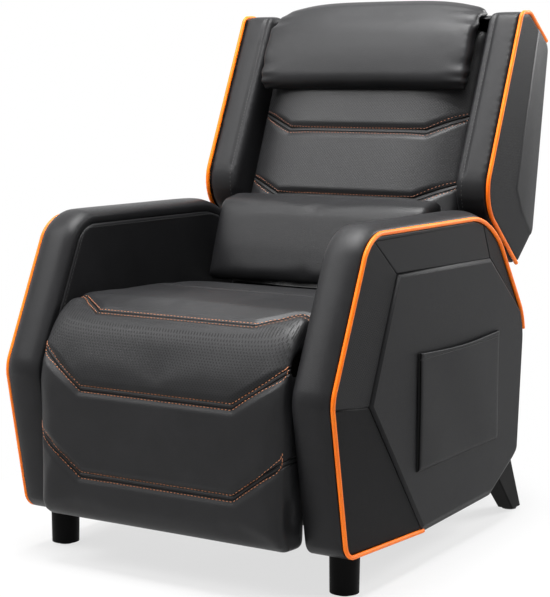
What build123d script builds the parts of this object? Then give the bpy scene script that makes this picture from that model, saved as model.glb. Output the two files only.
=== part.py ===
from build123d import *
import math
import os

# Push-back gaming recliner. Millimetres, +Z up, the sitter looks along -Y, X = 0 is the plane of symmetry.
# The origin is on the floor under the middle of the chair's bounding box. "left" is the sitter's left, +X.

os.makedirs("parts", exist_ok=True)

# General values
half_width = 350.0  # outer face of the arm piping
soft_gap = 0.3  # between soft pieces that press on each other
overrun = 20.0  # how far a cutting solid runs past what it cuts
piping_radius = 4.2
piping_gap = 0.1  # between the piping and the cover edges it is sewn between
seam_gap = 0.6  # between two panels of one cover

# Arms
arm_width = 84.0
arm_depth = 800.0
arm_front_y = -458.0
arm_bottom_z = 62.0
arm_height = 568.0
arm_corner_shares = [
    (0.156, 1.0),  # top front
    (0.0, 0.52),  # foremost point
    (0.069, 0.028),  # bottom front
    (0.435, 0.0),  # lowest point
    (0.814, 0.011),  # start of the rear undercut
    (0.974, 0.122),  # bottom rear
    (1.0, 0.607),  # top of the upright rear edge
    (0.785, 1.0),  # top rear
]
arm_corner_radii = [72.0, 60.0, 35.0, 30.0, 25.0, 30.0, 110.0, 180.0]
arm_crown = 11.0  # how far the band swells past the piping line
arm_crown_shares = [1.0, 0.85, 0.0, 0.0, 0.0, 0.3, 0.55, 1.0]
band_thickness = 16.0
band_inner_step = 2.0  # the inner pad stands this far proud of the band's edge
band_rim_inset = 7.0
band_rim_width = 9.0
rim_step_share = 0.15  # of the rim's inset that is left at the end of the rim's width
inner_pad_thickness = 14.0
frame_member_width = 44.0
frame_cross_bar_bottom_z = 340.0
frame_cross_bar_height = 72.0
panel_thickness = 4.0
side_pad_thickness = 7.4
side_pad_rim = 2.5
pad_top_front_share = (0.289, 0.859)
pad_top_rear_share = (0.776, 0.85)
pad_front_share = (0.168, 0.473)

# Side pocket on the left arm
pocket_front_margin = 308.0  # from the arm's foremost point
pocket_rear_margin = 143.0
pocket_bottom_margin = 121.0
pocket_top_margin = 229.0
pocket_space = 5.0
pocket_wall = 2.2
pocket_hem_height = 9.0
pocket_hem_extra = 1.0
pocket_seam = 6.0

# Legs
front_leg_inset = 43.0  # from the outer face of the arm piping
front_leg_setback = 122.0  # from the arm's foremost point
front_leg_top_radius = 28.0
front_leg_foot_radius = 26.0
leg_blank_height = 150.0
glide_radius = 15.0
glide_height = 4.0
rear_leg_inset = 41.0
rear_leg_foot_width = 34.0
rear_leg_top_width = 46.0
rear_leg_foot_overhang = 10.0  # of the foot's front edge behind the arm
rear_leg_foot_depth = 40.0
rear_leg_front_splay = 1.02  # run back for each unit of drop
rear_leg_rear_splay = 0.592
rear_leg_edge_radius = 4.0

# Cross tubes and their bolts
tube_depth = 40.0
tube_height = 30.0
tube_wall = 2.0
front_tube_setback = 183.0  # from the arm's foremost point
rear_tube_margin = 192.0  # from the arm's rear edge
tube_rise = 50.0  # above the arm's lowest point
end_plate_depth = 92.0
end_plate_thickness = 4.0
end_plate_clearance = 1.0
bolt_radius = 4.0
bolt_length = 34.0
bolt_head_radius = 7.5
bolt_head_height = 5.0
bolt_spread = 33.0
bolt_hole_clearance = 0.1

# Slide rails and runners
rail_front_y = -375.0
rail_rear_y = 120.0
rail_bottom_z = 345.0
rail_height = 30.0
rail_wall = 3.0
rail_depth = 23.0
runner_front_y = -330.0
runner_rear_y = 100.0
runner_clearance = 0.4
runner_side_clearance = 2.0

# Seat frame and springs
seat_frame_side_gap = 26.0  # between the frame and the arm
seat_frame_front_y = -412.0
seat_frame_rear_y = 100.0
seat_frame_top_z = 416.0
seat_frame_height = 50.0
seat_side_member = 35.0
seat_end_member = 38.0
seat_frame_corner = 3.0
spring_wire_radius = 1.8
spring_count = 5
spring_turns = 18
spring_straight_length = 18.0  # between two turns
spring_end_margin = 22.0

# Leg rest hinge, board and cushion
hinge_y = -430.0
hinge_z = 420.0
knuckle_radius = 4.0
hinge_pin_radius = 2.0
hinge_pin_clearance = 0.05
leaf_thickness = 2.0
hinge_end_margin = 20.0  # from the side of the seat frame
knuckle_count = 11
knuckle_gap = 0.5
seat_leaf_depth = 36.0
board_leaf_depth = 42.0
leg_rest_range_deg = 80.0
board_thickness = 16.0
board_side_margin = 4.0  # inside the side of the seat frame
board_top_z = 412.0
board_bottom_z = 95.0

# Seat and leg rest cushions, side outlines
cushion_side_gap = 4.0  # between the cushions and the arm
cushion_side_radius = 13.0
seat_cushion_rear_y = 108.0
seat_cushion_bottom_z = 420.0
seat_rear_top_z = 464.0
seat_crown_y = -130.0
seat_crown_z = 487.0
seat_nose_y = -405.0
seat_nose_z = 475.0
seat_fold_y = -439.0
seat_fold_z = 431.0
seat_fold_inner_y = -422.0
seat_fold_inner_z = 424.0
seat_rear_radius = 16.0
seat_nose_radius = 32.0
rest_fold_y = -446.0
rest_fold_z = 410.0
rest_fold_inner_z = 403.0
rest_front_y = -476.0
rest_shoulder_z = 336.0
rest_shoulder_y = -474.0
rest_bottom_y = -470.0
rest_bottom_z = 82.0
rest_bottom_radius = 35.0
rest_cheek_drop = 24.0  # from the hinge axis to the top of the cheeks beside the board
rest_cheek_depth = 42.0  # behind the front of the board
rest_cheek_gap = 1.5  # from the seat frame out to the cheeks

# Sewn channels: pairs of grooves, straight across the middle and turned up at both sides
channel_radius = 3.2
channel_spacing = 8.5
channel_lift = 1.2  # the middle of a groove lies this far outside the surface
rest_channel_corner_inset = 100.0  # from the side of the cushion
rest_upper_channel_z = 338.0
rest_upper_channel_end_z = 398.0
rest_lower_channel_z = 178.0
rest_lower_channel_end_z = 249.0
seat_channel_corner_inset = 92.0
seat_channel_end_inset = 31.0
seat_channel_y = -385.0
seat_channel_end_y = -338.0
seat_cross_seam_y = -148.0

# Drive shaft, cranks and push rods of the leg rest
crank_y_offset = 38.0  # from the hinge axis to the bracket pivot, and so from the shaft to the crank pivot
crank_z_offset = -170.0
shaft_y_offset = 200.0  # from the hinge axis to the shaft
shaft_z_offset = -72.0
shaft_radius = 12.5
shaft_wall = 2.5
shaft_clearance = 0.05
shaft_end_length = 6.0  # outside the crank
crank_side_gap = 5.0  # between the side member of the seat frame and the crank
crank_thickness = 6.0
crank_boss_radius = 16.0
crank_eye_radius = 12.0
rod_gap = 0.5
rod_thickness = 4.5
rod_width = 18.0
rivet_radius = 4.0
rivet_clearance = 0.05
rivet_head_radius = 7.0
rivet_head_height = 1.8
bearing_plate_thickness = 5.0
bearing_plate_depth = 84.0
bearing_plate_drop = 44.0
bracket_foot_depth = 3.0
bracket_foot_width = 34.0
bracket_height = 80.0

# Backrest
back_lean_deg = 21.5
back_reference_y = 243.0  # front of the middle of the back pad at the reference height
back_reference_z = 785.0
back_pad_thickness = 62.0
back_pad_edge_thickness = 36.0
back_pad_slope_width = 76.7  # from the side of the pad to its flat middle
back_pad_bend_width = 29.7
back_pad_bend_thickness = 52.0
back_pad_bottom_z = 432.0
back_pad_top_z = 980.0
webbing_thickness = 2.0
webbing_width = 50.0
webbing_count = 7
webbing_end_margin = 17.0
back_frame_thickness = 40.0
back_frame_bottom_z = 415.0
back_frame_top_z = 972.0
back_frame_member = 40.0
pivot_y = 165.0
pivot_z = 395.0
pivot_radius = 6.0
pivot_clearance = 0.05
pivot_eye_radius = 20.0
back_plate_thickness = 6.0
back_plate_gap = 1.0
back_plate_top_z = 505.0
back_plate_width = 36.0
recline_bracket_front_y = 55.0
recline_bracket_bottom_z = 380.0
recline_bracket_top_z = 414.0
bolt_head_gap = 0.5
pivot_head_radius = 10.0
pivot_head_height = 5.5
chevron_corner_inset = 89.7  # from the side of the back pad
chevron_knee_inset = 54.7
chevron_bend_inset = 30.7
chevron_end_inset = 12.7
chevron_rise = 33.0
upper_chevron_z = 785.0
lower_chevron_z = 650.0

# Wings
wing_side_step = 18.0  # from the outer face of the arm piping in to that of the wing piping
wing_front_y = 163.0
wing_depth = 317.0
wing_bottom_z = 511.0
wing_height = 517.0
wing_corner_shares = [
    (0.53, 0.996),  # top front
    (0.0, 0.267),  # foremost point
    (0.546, 0.0),  # lower tip
    (0.805, 0.124),  # bottom rear
    (1.0, 0.872),  # top of the rear edge
    (0.668, 1.0),  # top
]
wing_corner_radii = [22.0, 80.0, 14.0, 26.0, 28.0, 30.0]
wing_crown = 7.0
wing_crown_shares = [1.0, 0.6, 0.2, 0.2, 0.2, 0.4]
wing_rim_inset = 10.0
wing_rim_width = 9.0
wing_side_rim = 4.0
wing_side_proud = 1.0
wing_piping_end_share = 0.55

# Rear cover
cover_thickness = 12.0
cover_top_front_y = 352.0
cover_top_front_z = 1012.0
cover_top_y = 378.0
cover_top_z = 1020.0
cover_shoulder_y = 474.0
cover_shoulder_z = 962.0
cover_waist_y = 414.0
cover_waist_z = 575.0
cover_bottom_y = 352.0
cover_bottom_z = 345.0

# Head pillow
head_side_gap = 17.0  # between the pillow and the wing
head_bottom_z = 866.0
head_bulge = 46.0
head_bulge_z = 905.0
head_upper_bulge = 40.0
head_upper_z = 985.0
head_brow = 7.0
head_top_y = 345.0
head_top_z = 1039.0
head_crest_y = 372.0
head_crest_z = 1049.0
head_under_y = 396.0
head_under_z = 1026.0
head_end_inset = 13.0
head_end_width = 24.0

# Lumbar pillow
lumbar_side_gap = 9.0
lumbar_bottom_front_y = 34.0
lumbar_bottom_front_z = 475.5
lumbar_bottom_rear_z = 467.0
lumbar_belly_y = 48.0
lumbar_belly_z = 545.0
lumbar_brow_y = 128.0
lumbar_brow_z = 638.0
lumbar_top_y = 165.0
lumbar_top_z = 656.0
lumbar_rear_top_z = 648.0
lumbar_end_inset = 15.0
lumbar_end_width = 30.0

# Values worked out from the sizes above
inner_x = half_width - arm_width
arm_rear_y = arm_front_y + arm_depth
arm_top_z = arm_bottom_z + arm_height
pocket_front_y = arm_front_y + pocket_front_margin
pocket_rear_y = arm_rear_y - pocket_rear_margin
pocket_bottom_z = arm_bottom_z + pocket_bottom_margin
pocket_top_z = arm_top_z - pocket_top_margin
front_leg_x = half_width - front_leg_inset
front_leg_y = arm_front_y + front_leg_setback
rear_leg_x = half_width - rear_leg_inset
rear_leg_foot_front_y = arm_rear_y + rear_leg_foot_overhang
rear_leg_foot_rear_y = rear_leg_foot_front_y + rear_leg_foot_depth
front_tube_y = arm_front_y + front_tube_setback
rear_tube_y = arm_rear_y - rear_tube_margin
tube_z = arm_bottom_z + tube_rise
seat_frame_half_width = inner_x - seat_frame_side_gap
spring_spacing = 2 * (seat_frame_half_width - seat_side_member) / spring_count
hinge_half_length = seat_frame_half_width - hinge_end_margin
board_half_width = seat_frame_half_width - board_side_margin
cushion_half_width = inner_x - cushion_side_gap
rest_channel_corner_x = cushion_half_width - rest_channel_corner_inset
seat_channel_corner_x = cushion_half_width - seat_channel_corner_inset
seat_channel_end_x = cushion_half_width - seat_channel_end_inset
crank_inner_x = seat_frame_half_width - seat_side_member + crank_side_gap
back_frame_half_width = inner_x - 2 * back_plate_thickness - back_plate_gap
back_pad_half_width = back_frame_half_width - soft_gap
back_pad_flat_half_width = back_pad_half_width - back_pad_slope_width
back_pad_bend_x = back_pad_half_width - back_pad_bend_width
webbing_half_length = back_frame_half_width - webbing_end_margin
wing_inner_x = back_frame_half_width
wing_outer_x = half_width - wing_side_step
head_half_width = wing_inner_x - head_side_gap
lumbar_half_width = wing_inner_x - lumbar_side_gap
band_outer_x = half_width - 2 * piping_radius
piping_x = half_width - piping_radius
frame_inner_x = inner_x + inner_pad_thickness
frame_inset = band_thickness + soft_gap
side_pad_face_x = band_outer_x + side_pad_thickness
board_front_y = hinge_y - knuckle_radius + leaf_thickness
board_rear_y = board_front_y + board_thickness
leaf_front_y = hinge_y - knuckle_radius
shaft_y = hinge_y + shaft_y_offset
shaft_z = hinge_z + shaft_z_offset
bracket_pivot_y = hinge_y + crank_y_offset
bracket_pivot_z = hinge_z + crank_z_offset
crank_pivot_y = shaft_y + crank_y_offset
crank_pivot_z = shaft_z + crank_z_offset
crank_outer_x = crank_inner_x + crank_thickness
shaft_half_length = crank_outer_x + shaft_end_length
rod_inner_x = crank_outer_x + rod_gap
rod_outer_x = rod_inner_x + rod_thickness
lean = math.radians(back_lean_deg)


def place(share, low_y, depth, low_z, height):
    # a point given as shares of a piece's depth and height
    return (low_y + share[0] * depth, low_z + share[1] * height)


def moved(corners, distances):
    # the corners of a closed outline after each edge moves inward by its own distance
    edges = []
    for index, corner in enumerate(corners):
        start = Vector(*corner)
        run = (Vector(*corners[(index + 1) % len(corners)]) - start).normalized()
        edges.append((start + Vector(-run.Y, run.X) * distances[index], run))
    points = []
    for index, (start, run) in enumerate(edges):
        before, before_run = edges[index - 1]
        along = (start - before).cross(run).Z / before_run.cross(run).Z
        point = before + before_run * along
        points.append((point.X, point.Y))
    return points


def inset(corners, distance):
    return moved(corners, [distance] * len(corners))


def outline(plane, corners, radii):
    # a closed face with rounded corners
    with BuildSketch(plane) as face:
        with BuildLine():
            FilletPolyline(*corners, radius=radii, close=True)
        make_face()
    return face.sketch


def side_plane(x):
    # local x runs along Y, local y along Z
    return Plane.YZ.offset(x)


def round_bar(x_low, x_high, y, z, radius):
    with BuildPart() as bar:
        with BuildSketch(side_plane(x_low)):
            with Locations((y, z)):
                Circle(radius)
        extrude(amount=x_high - x_low)
    return bar.part


def block(x_low, x_high, y_low, y_high, z_low, z_high):
    with BuildPart() as solid:
        with BuildSketch(Plane.XY.offset(z_low)):
            with Locations(((x_low + x_high) / 2, (y_low + y_high) / 2)):
                Rectangle(x_high - x_low, y_high - y_low)
        extrude(amount=z_high - z_low)
    return solid.part


def save(part, name):
    part.label = name
    export_step(part, f"parts/{name}.step")


def save_pair(part, name):
    # the left piece and its mirror image on the right
    save(part, f"{name}_left")
    with BuildPart() as other:
        mirror(part, about=Plane.YZ)
    save(other.part, f"{name}_right")


# Arm outline and its pieces
arm_corners = [place(share, arm_front_y, arm_depth, arm_bottom_z, arm_height) for share in arm_corner_shares]
arm_crown_distances = [-arm_crown * share for share in arm_crown_shares]
arm_rim_distances = [band_rim_inset * share for share in arm_crown_shares]
arm_piped_edges = [True, True, True, False, False, False, True, True]
arm_panel_distances = [2 * piping_radius if piped else 0 for piped in arm_piped_edges]


def arm_outline(x, distances):
    radii = [max(radius - max(distances[i], distances[i - 1]), piping_radius)
             for i, radius in enumerate(arm_corner_radii)]
    return outline(side_plane(x), moved(arm_corners, distances), radii)


def arm_solid(distances, x_low, x_high):
    with BuildPart() as solid:
        extrude(arm_outline(x_low, distances), amount=x_high - x_low)
    return solid.part


def arm_slab(distance, x_low, x_high):
    return arm_solid([distance] * len(arm_corners), x_low, x_high)


def build_arm_band():
    start_x = inner_x + band_inner_step
    flat = [0] * len(arm_corners)
    step = [rim_step_share * distance for distance in arm_rim_distances]
    with BuildPart() as band:
        loft([
            arm_outline(start_x, arm_rim_distances),
            arm_outline(start_x + band_rim_width, step),
            arm_outline((start_x + band_outer_x) / 2, arm_crown_distances),
            arm_outline(band_outer_x, flat),
        ])
        add(arm_slab(band_thickness, start_x - overrun, band_outer_x + overrun), mode=Mode.SUBTRACT)
    save_pair(band.part, "arm_band")


def build_arm_frame():
    with BuildPart() as frame:
        add(arm_slab(frame_inset, frame_inner_x, band_outer_x))
        add(arm_slab(frame_inset + frame_member_width, frame_inner_x - overrun, band_outer_x + overrun),
            mode=Mode.SUBTRACT)
        with BuildPart(mode=Mode.PRIVATE) as bar:
            add(arm_slab(frame_inset, frame_inner_x, band_outer_x))
            add(block(inner_x, half_width, arm_front_y, arm_front_y + arm_depth,
                      frame_cross_bar_bottom_z, frame_cross_bar_bottom_z + frame_cross_bar_height),
                mode=Mode.INTERSECT)
        add(bar.part)
        for y in (front_tube_y, rear_tube_y):
            for side in (-1, 1):
                add(round_bar(frame_inner_x - overrun, frame_inner_x + bolt_length, y + side * bolt_spread,
                              tube_z, bolt_radius + bolt_hole_clearance), mode=Mode.SUBTRACT)
    save_pair(frame.part, "arm_frame")


def build_arm_inner_pad():
    with BuildPart() as pad:
        add(arm_slab(frame_inset, inner_x, frame_inner_x))
        for y in (front_tube_y, rear_tube_y):
            half_depth = end_plate_depth / 2 + end_plate_clearance
            half_height = tube_height / 2 + end_plate_clearance
            add(block(inner_x - overrun, frame_inner_x + overrun, y - half_depth, y + half_depth,
                      tube_z - half_height, tube_z + half_height), mode=Mode.SUBTRACT)
    save_pair(pad.part, "arm_inner_pad")


def panel(corners, outer_edges, thickness):
    # one panel of the outer cover: its polygon, trimmed to the rounded outline of the arm
    distances = [-overrun if index in outer_edges else seam_gap / 2 for index in range(len(corners))]
    with BuildPart() as cover:
        with BuildSketch(side_plane(band_outer_x)):
            with BuildLine():
                Polyline(*moved(corners, distances), close=True)
            make_face()
        extrude(amount=thickness)
        add(arm_solid(arm_panel_distances, inner_x, half_width + overrun), mode=Mode.INTERSECT)
    return cover.part


pad_top_front = place(pad_top_front_share, arm_front_y, arm_depth, arm_bottom_z, arm_height)
pad_top_rear = place(pad_top_rear_share, arm_front_y, arm_depth, arm_bottom_z, arm_height)
pad_front = place(pad_front_share, arm_front_y, arm_depth, arm_bottom_z, arm_height)


def build_arm_side_panels():
    top_front, front, low_front, lowest, undercut, low_rear, rear, top_rear = arm_corners
    with BuildPart() as side_pad:
        add(panel([pad_top_front, pad_front, lowest, undercut, low_rear, rear, pad_top_rear],
                  (2, 3, 4), side_pad_thickness))
        chamfer(side_pad.faces().sort_by(Axis.X)[-1].edges(), length=side_pad_rim)
    save_pair(side_pad.part, "arm_side_pad")
    save_pair(panel([top_front, front, low_front, lowest, pad_front, pad_top_front],
                    (0, 1, 2), panel_thickness), "arm_front_panel")
    save_pair(panel([top_rear, top_front, pad_top_front, pad_top_rear, rear],
                    (0, 4), panel_thickness), "arm_top_panel")


def build_arm_piping():
    line = inset(arm_corners, piping_radius)
    top_front, front, low_front, lowest, undercut, low_rear, rear, top_rear = line
    radii = [arm_corner_radii[i] - piping_radius for i in (2, 1, 0, 7)]
    with BuildPart() as piping:
        with BuildLine(side_plane(piping_x)) as path:
            FilletPolyline(lowest, low_front, front, top_front, top_rear, rear, radius=radii)
        with BuildSketch(Plane(path.line @ 0, z_dir=path.line % 0)):
            Circle(piping_radius - piping_gap)
        sweep(path=path.line)
    save_pair(piping.part, "arm_piping")


def build_side_pocket():
    # a patch of cover sewn to the side pad along three edges and open at the top
    face_x = side_pad_face_x
    outer_x = face_x + pocket_space + pocket_wall
    with BuildPart() as pocket:
        add(block(face_x, outer_x, pocket_front_y, pocket_rear_y, pocket_bottom_z, pocket_top_z))
        fillet(pocket.faces().sort_by(Axis.X)[-1].edges().filter_by(Axis.Z), pocket_wall)
        add(block(face_x - overrun, face_x + pocket_space, pocket_front_y + pocket_seam,
                  pocket_rear_y - pocket_seam, pocket_bottom_z + pocket_seam, pocket_top_z + overrun),
            mode=Mode.SUBTRACT)
        add(block(outer_x - pocket_wall, outer_x + pocket_hem_extra, pocket_front_y + pocket_seam,
                  pocket_rear_y - pocket_seam, pocket_top_z - pocket_hem_height, pocket_top_z))
    save(pocket.part, "side_pocket")


# Legs
def under_plane(first, second, x):
    # the plane of the arm's underside between two outline corners, its normal pointing down
    run = (Vector(0, *second) - Vector(0, *first)).normalized()
    return Plane(origin=(x, *first), x_dir=(1, 0, 0), z_dir=(0, run.Z, -run.Y))


def build_legs():
    lowest, undercut, low_rear = arm_corners[3], arm_corners[4], arm_corners[5]
    with BuildPart() as front_leg:
        with BuildSketch(Plane.XY.offset(glide_height)):
            with Locations((front_leg_x, front_leg_y)):
                Circle(front_leg_foot_radius)
        with BuildSketch(Plane.XY.offset(leg_blank_height)):
            with Locations((front_leg_x, front_leg_y)):
                Circle(front_leg_top_radius)
        loft()
        split(bisect_by=under_plane(arm_corners[2], lowest, front_leg_x), keep=Keep.TOP)
    save_pair(front_leg.part, "front_leg")
    with BuildPart() as rear_leg:
        for height, width in ((glide_height, rear_leg_foot_width), (leg_blank_height, rear_leg_top_width)):
            front = rear_leg_foot_front_y - rear_leg_front_splay * height
            rear = rear_leg_foot_rear_y - rear_leg_rear_splay * height
            with BuildSketch(Plane.XY.offset(height)):
                with Locations((rear_leg_x, (front + rear) / 2)):
                    RectangleRounded(width, rear - front, rear_leg_edge_radius)
        loft()
        split(bisect_by=under_plane(undercut, low_rear, rear_leg_x), keep=Keep.TOP)
    save_pair(rear_leg.part, "rear_leg")
    rear_foot_y = (rear_leg_foot_front_y + rear_leg_foot_rear_y) / 2
    rear_foot_shift = (rear_leg_front_splay + rear_leg_rear_splay) / 2 * glide_height
    with BuildPart() as glides:
        with BuildSketch(Plane.XY):
            for x, y in ((front_leg_x, front_leg_y), (rear_leg_x, rear_foot_y - rear_foot_shift)):
                with Locations((x, y), (-x, y)):
                    Circle(glide_radius)
        extrude(amount=glide_height)
    save(glides.part, "leg_glides")


# Cross tubes between the arms
def build_cross_tube(y, name):
    half_length = frame_inner_x
    with BuildPart() as tube:
        with BuildSketch(side_plane(-half_length)):
            with Locations((y, tube_z)):
                Rectangle(tube_depth, tube_height)
                Rectangle(tube_depth - 2 * tube_wall, tube_height - 2 * tube_wall, mode=Mode.SUBTRACT)
        extrude(amount=2 * half_length)
        for x_low in (-half_length, half_length - end_plate_thickness):
            with BuildSketch(side_plane(x_low)):
                with Locations((y, tube_z)):
                    Rectangle(end_plate_depth, tube_height)
                with Locations((y - bolt_spread, tube_z), (y + bolt_spread, tube_z)):
                    Circle(bolt_radius + bolt_hole_clearance, mode=Mode.SUBTRACT)
            extrude(amount=end_plate_thickness)
    save(tube.part, name)


def build_frame_bolts():
    head_inner_x = frame_inner_x - end_plate_thickness - bolt_head_height
    with BuildPart() as bolts:
        for tube_y in (front_tube_y, rear_tube_y):
            for y in (tube_y - bolt_spread, tube_y + bolt_spread):
                with BuildSketch(side_plane(head_inner_x)):
                    with Locations((y, tube_z)):
                        RegularPolygon(bolt_head_radius, 6)
                extrude(amount=bolt_head_height)
                add(round_bar(head_inner_x, frame_inner_x + bolt_length, y, tube_z, bolt_radius))
        mirror(about=Plane.YZ)
    save(bolts.part, "frame_bolts")


# Slide rails on the arms, runners on the seat
def build_slides():
    rail_top_z = rail_bottom_z + rail_height
    with BuildPart() as rail:
        add(block(inner_x - rail_depth, inner_x, rail_front_y, rail_rear_y, rail_bottom_z, rail_top_z))
        add(block(inner_x - rail_depth - overrun, inner_x - rail_wall, rail_front_y - overrun,
                  rail_rear_y + overrun, rail_bottom_z + rail_wall, rail_top_z - rail_wall),
            mode=Mode.SUBTRACT)
    save_pair(rail.part, "slide_rail")
    with BuildPart() as runner:
        add(block(seat_frame_half_width, inner_x - rail_wall - runner_side_clearance, runner_front_y,
                  runner_rear_y, rail_bottom_z + rail_wall + runner_clearance,
                  rail_top_z - rail_wall - runner_clearance))
    save_pair(runner.part, "seat_runner")


# Seat frame and its zigzag springs
def build_seat_frame():
    depth = seat_frame_rear_y - seat_frame_front_y
    middle_y = (seat_frame_rear_y + seat_frame_front_y) / 2
    with BuildPart() as frame:
        with BuildSketch(Plane.XY.offset(seat_frame_top_z - seat_frame_height)):
            with Locations((0, middle_y)):
                RectangleRounded(2 * seat_frame_half_width, depth, seat_frame_corner)
                Rectangle(2 * (seat_frame_half_width - seat_side_member), depth - 2 * seat_end_member,
                          mode=Mode.SUBTRACT)
        extrude(amount=seat_frame_height)
    save(frame.part, "seat_frame")


def build_seat_springs():
    start_y = seat_frame_front_y + spring_end_margin
    pitch = (seat_frame_rear_y - seat_frame_front_y - 2 * spring_end_margin) / spring_turns
    turn_radius = pitch / 2
    wire_z = seat_frame_top_z + spring_wire_radius
    print(f"seat spring: least gap between turns {pitch - 2 * spring_wire_radius:.2f} mm")
    with BuildPart() as springs:
        for index in range(spring_count):
            x = (index - (spring_count - 1) / 2) * spring_spacing
            with BuildLine(Plane.XY.offset(wire_z)) as path:
                Line((x, start_y), (x + spring_straight_length / 2, start_y))
                for turn in range(spring_turns):
                    side = 1 if turn % 2 == 0 else -1
                    y = start_y + turn * pitch
                    bend_x = x + side * spring_straight_length / 2
                    ThreePointArc((bend_x, y), (bend_x + side * turn_radius, y + turn_radius),
                                  (bend_x, y + pitch))
                    last_x = x if turn == spring_turns - 1 else x - side * spring_straight_length / 2
                    Line((bend_x, y + pitch), (last_x, y + pitch))
            with BuildSketch(Plane(origin=(x, start_y, wire_z), z_dir=(1, 0, 0))):
                Circle(spring_wire_radius)
            sweep(path=path.line)
    save(springs.part, "seat_springs")


# Long hinge between the seat frame and the leg rest board
def knuckles(first):
    # every second knuckle of the hinge, with the bore for the pin
    length = 2 * hinge_half_length / knuckle_count
    with BuildPart() as row:
        for index in range(first, knuckle_count, 2):
            x = -hinge_half_length + index * length
            add(round_bar(x + knuckle_gap / 2, x + length - knuckle_gap / 2,
                          hinge_y, hinge_z, knuckle_radius))
    return row.part


def hinge_slots(first, y_low, y_high, z_low, z_high):
    # the clear spaces in a leaf for the other leaf's knuckles
    length = 2 * hinge_half_length / knuckle_count
    with BuildPart() as slots:
        for index in range(first, knuckle_count, 2):
            x = -hinge_half_length + index * length
            add(block(x - knuckle_gap / 2, x + length + knuckle_gap / 2, y_low, y_high, z_low, z_high))
    return slots.part


def build_hinge():
    reach = knuckle_radius + knuckle_gap
    bore = round_bar(-half_width, half_width, hinge_y, hinge_z, hinge_pin_radius + hinge_pin_clearance)
    end_x = hinge_half_length - knuckle_gap / 2
    with BuildPart() as seat_leaf:
        add(block(-end_x, end_x, hinge_y, hinge_y + seat_leaf_depth, seat_frame_top_z,
                  seat_frame_top_z + leaf_thickness))
        add(hinge_slots(1, hinge_y - reach, hinge_y + reach, hinge_z - reach, hinge_z + reach),
            mode=Mode.SUBTRACT)
        add(knuckles(0))
        add(bore, mode=Mode.SUBTRACT)
    save(seat_leaf.part, "hinge_seat_leaf")
    with BuildPart() as board_leaf:
        add(block(-end_x, end_x, leaf_front_y, board_front_y, hinge_z - board_leaf_depth, hinge_z))
        add(hinge_slots(0, hinge_y - reach, hinge_y + reach, hinge_z - reach, hinge_z + reach),
            mode=Mode.SUBTRACT)
        add(knuckles(1))
        add(bore, mode=Mode.SUBTRACT)
    save(board_leaf.part, "hinge_board_leaf")
    save(round_bar(-hinge_half_length, hinge_half_length, hinge_y, hinge_z, hinge_pin_radius), "hinge_pin")


# Leg rest board and cushions
def build_board():
    with BuildPart() as board:
        add(block(-board_half_width, board_half_width, board_front_y, board_rear_y,
                  board_bottom_z, board_top_z))
    save(board.part, "leg_rest_board")


def groove(points):
    # one sewn line: a round groove along straight runs between points outside the surface
    with BuildPart() as cut:
        for start, end in zip(points[:-1], points[1:]):
            run = Vector(end) - Vector(start)
            with BuildSketch(Plane(origin=start, z_dir=run)):
                Circle(channel_radius)
            extrude(amount=run.length)
        with Locations(*points):
            Sphere(channel_radius)
    return cut.part


def arc_height(start, middle, end, across):
    # height of the upper arc through three points at a place across it
    (ay, az), (by, bz), (cy, cz) = start, middle, end
    slope_1 = (by - ay) / (bz - az)
    slope_2 = (cy - by) / (cz - bz)
    middle_1 = ((ay + by) / 2, (az + bz) / 2)
    middle_2 = ((by + cy) / 2, (bz + cz) / 2)
    offset_1 = middle_1[1] + slope_1 * middle_1[0]
    offset_2 = middle_2[1] + slope_2 * middle_2[0]
    centre_y = (offset_2 - offset_1) / (slope_2 - slope_1)
    centre_z = middle_1[1] - slope_1 * (centre_y - middle_1[0])
    return centre_z + math.sqrt((ay - centre_y) ** 2 + (az - centre_z) ** 2 - (across - centre_y) ** 2)


seat_top = [(seat_cushion_rear_y, seat_rear_top_z), (seat_crown_y, seat_crown_z), (seat_nose_y, seat_nose_z)]


def build_seat_cushion():
    rear_y = seat_cushion_rear_y
    with BuildPart() as cushion:
        with BuildSketch(side_plane(-cushion_half_width)):
            with BuildLine():
                Line((rear_y, seat_cushion_bottom_z), (rear_y, seat_rear_top_z))
                ThreePointArc(*seat_top)
                Polyline((seat_nose_y, seat_nose_z), (seat_fold_y, seat_fold_z),
                         (seat_fold_inner_y, seat_fold_inner_z), (seat_fold_inner_y, seat_cushion_bottom_z),
                         (rear_y, seat_cushion_bottom_z))
            make_face()
        extrude(amount=2 * cushion_half_width)
        long_edges = cushion.edges().filter_by(Axis.X)
        fillet(long_edges.sort_by_distance((0, seat_nose_y, seat_nose_z))[0], seat_nose_radius)
        long_edges = cushion.edges().filter_by(Axis.X)
        fillet(long_edges.sort_by_distance((0, rear_y, seat_rear_top_z))[0], seat_rear_radius)
        for side in (0, -1):
            end = cushion.faces().filter_by(Axis.X).sort_by(Axis.X)[side]
            fillet(end.edges().filter_by(is_above_seat_fold), cushion_side_radius)
        for shift in (-channel_spacing / 2, channel_spacing / 2):
            line = []
            for x, y in ((-seat_channel_end_x, seat_channel_end_y), (-seat_channel_corner_x, seat_channel_y),
                         (seat_channel_corner_x, seat_channel_y), (seat_channel_end_x, seat_channel_end_y)):
                line.append((x, y + shift, arc_height(*seat_top, y + shift) + channel_lift))
            add(groove(line), mode=Mode.SUBTRACT)
        seam_z = arc_height(*seat_top, seat_cross_seam_y) + channel_lift
        add(groove([(-half_width, seat_cross_seam_y, seam_z), (half_width, seat_cross_seam_y, seam_z)]),
            mode=Mode.SUBTRACT)
    save(cushion.part, "seat_cushion")


def is_above_seat_fold(edge):
    # the edges of a cushion's end face from the fold over the top to the rear
    return edge.center().Z > seat_fold_z and edge.center().Y < seat_cushion_rear_y - soft_gap


def is_in_front_of_board(edge):
    return edge.center().Y < rest_fold_y + piping_radius


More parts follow.
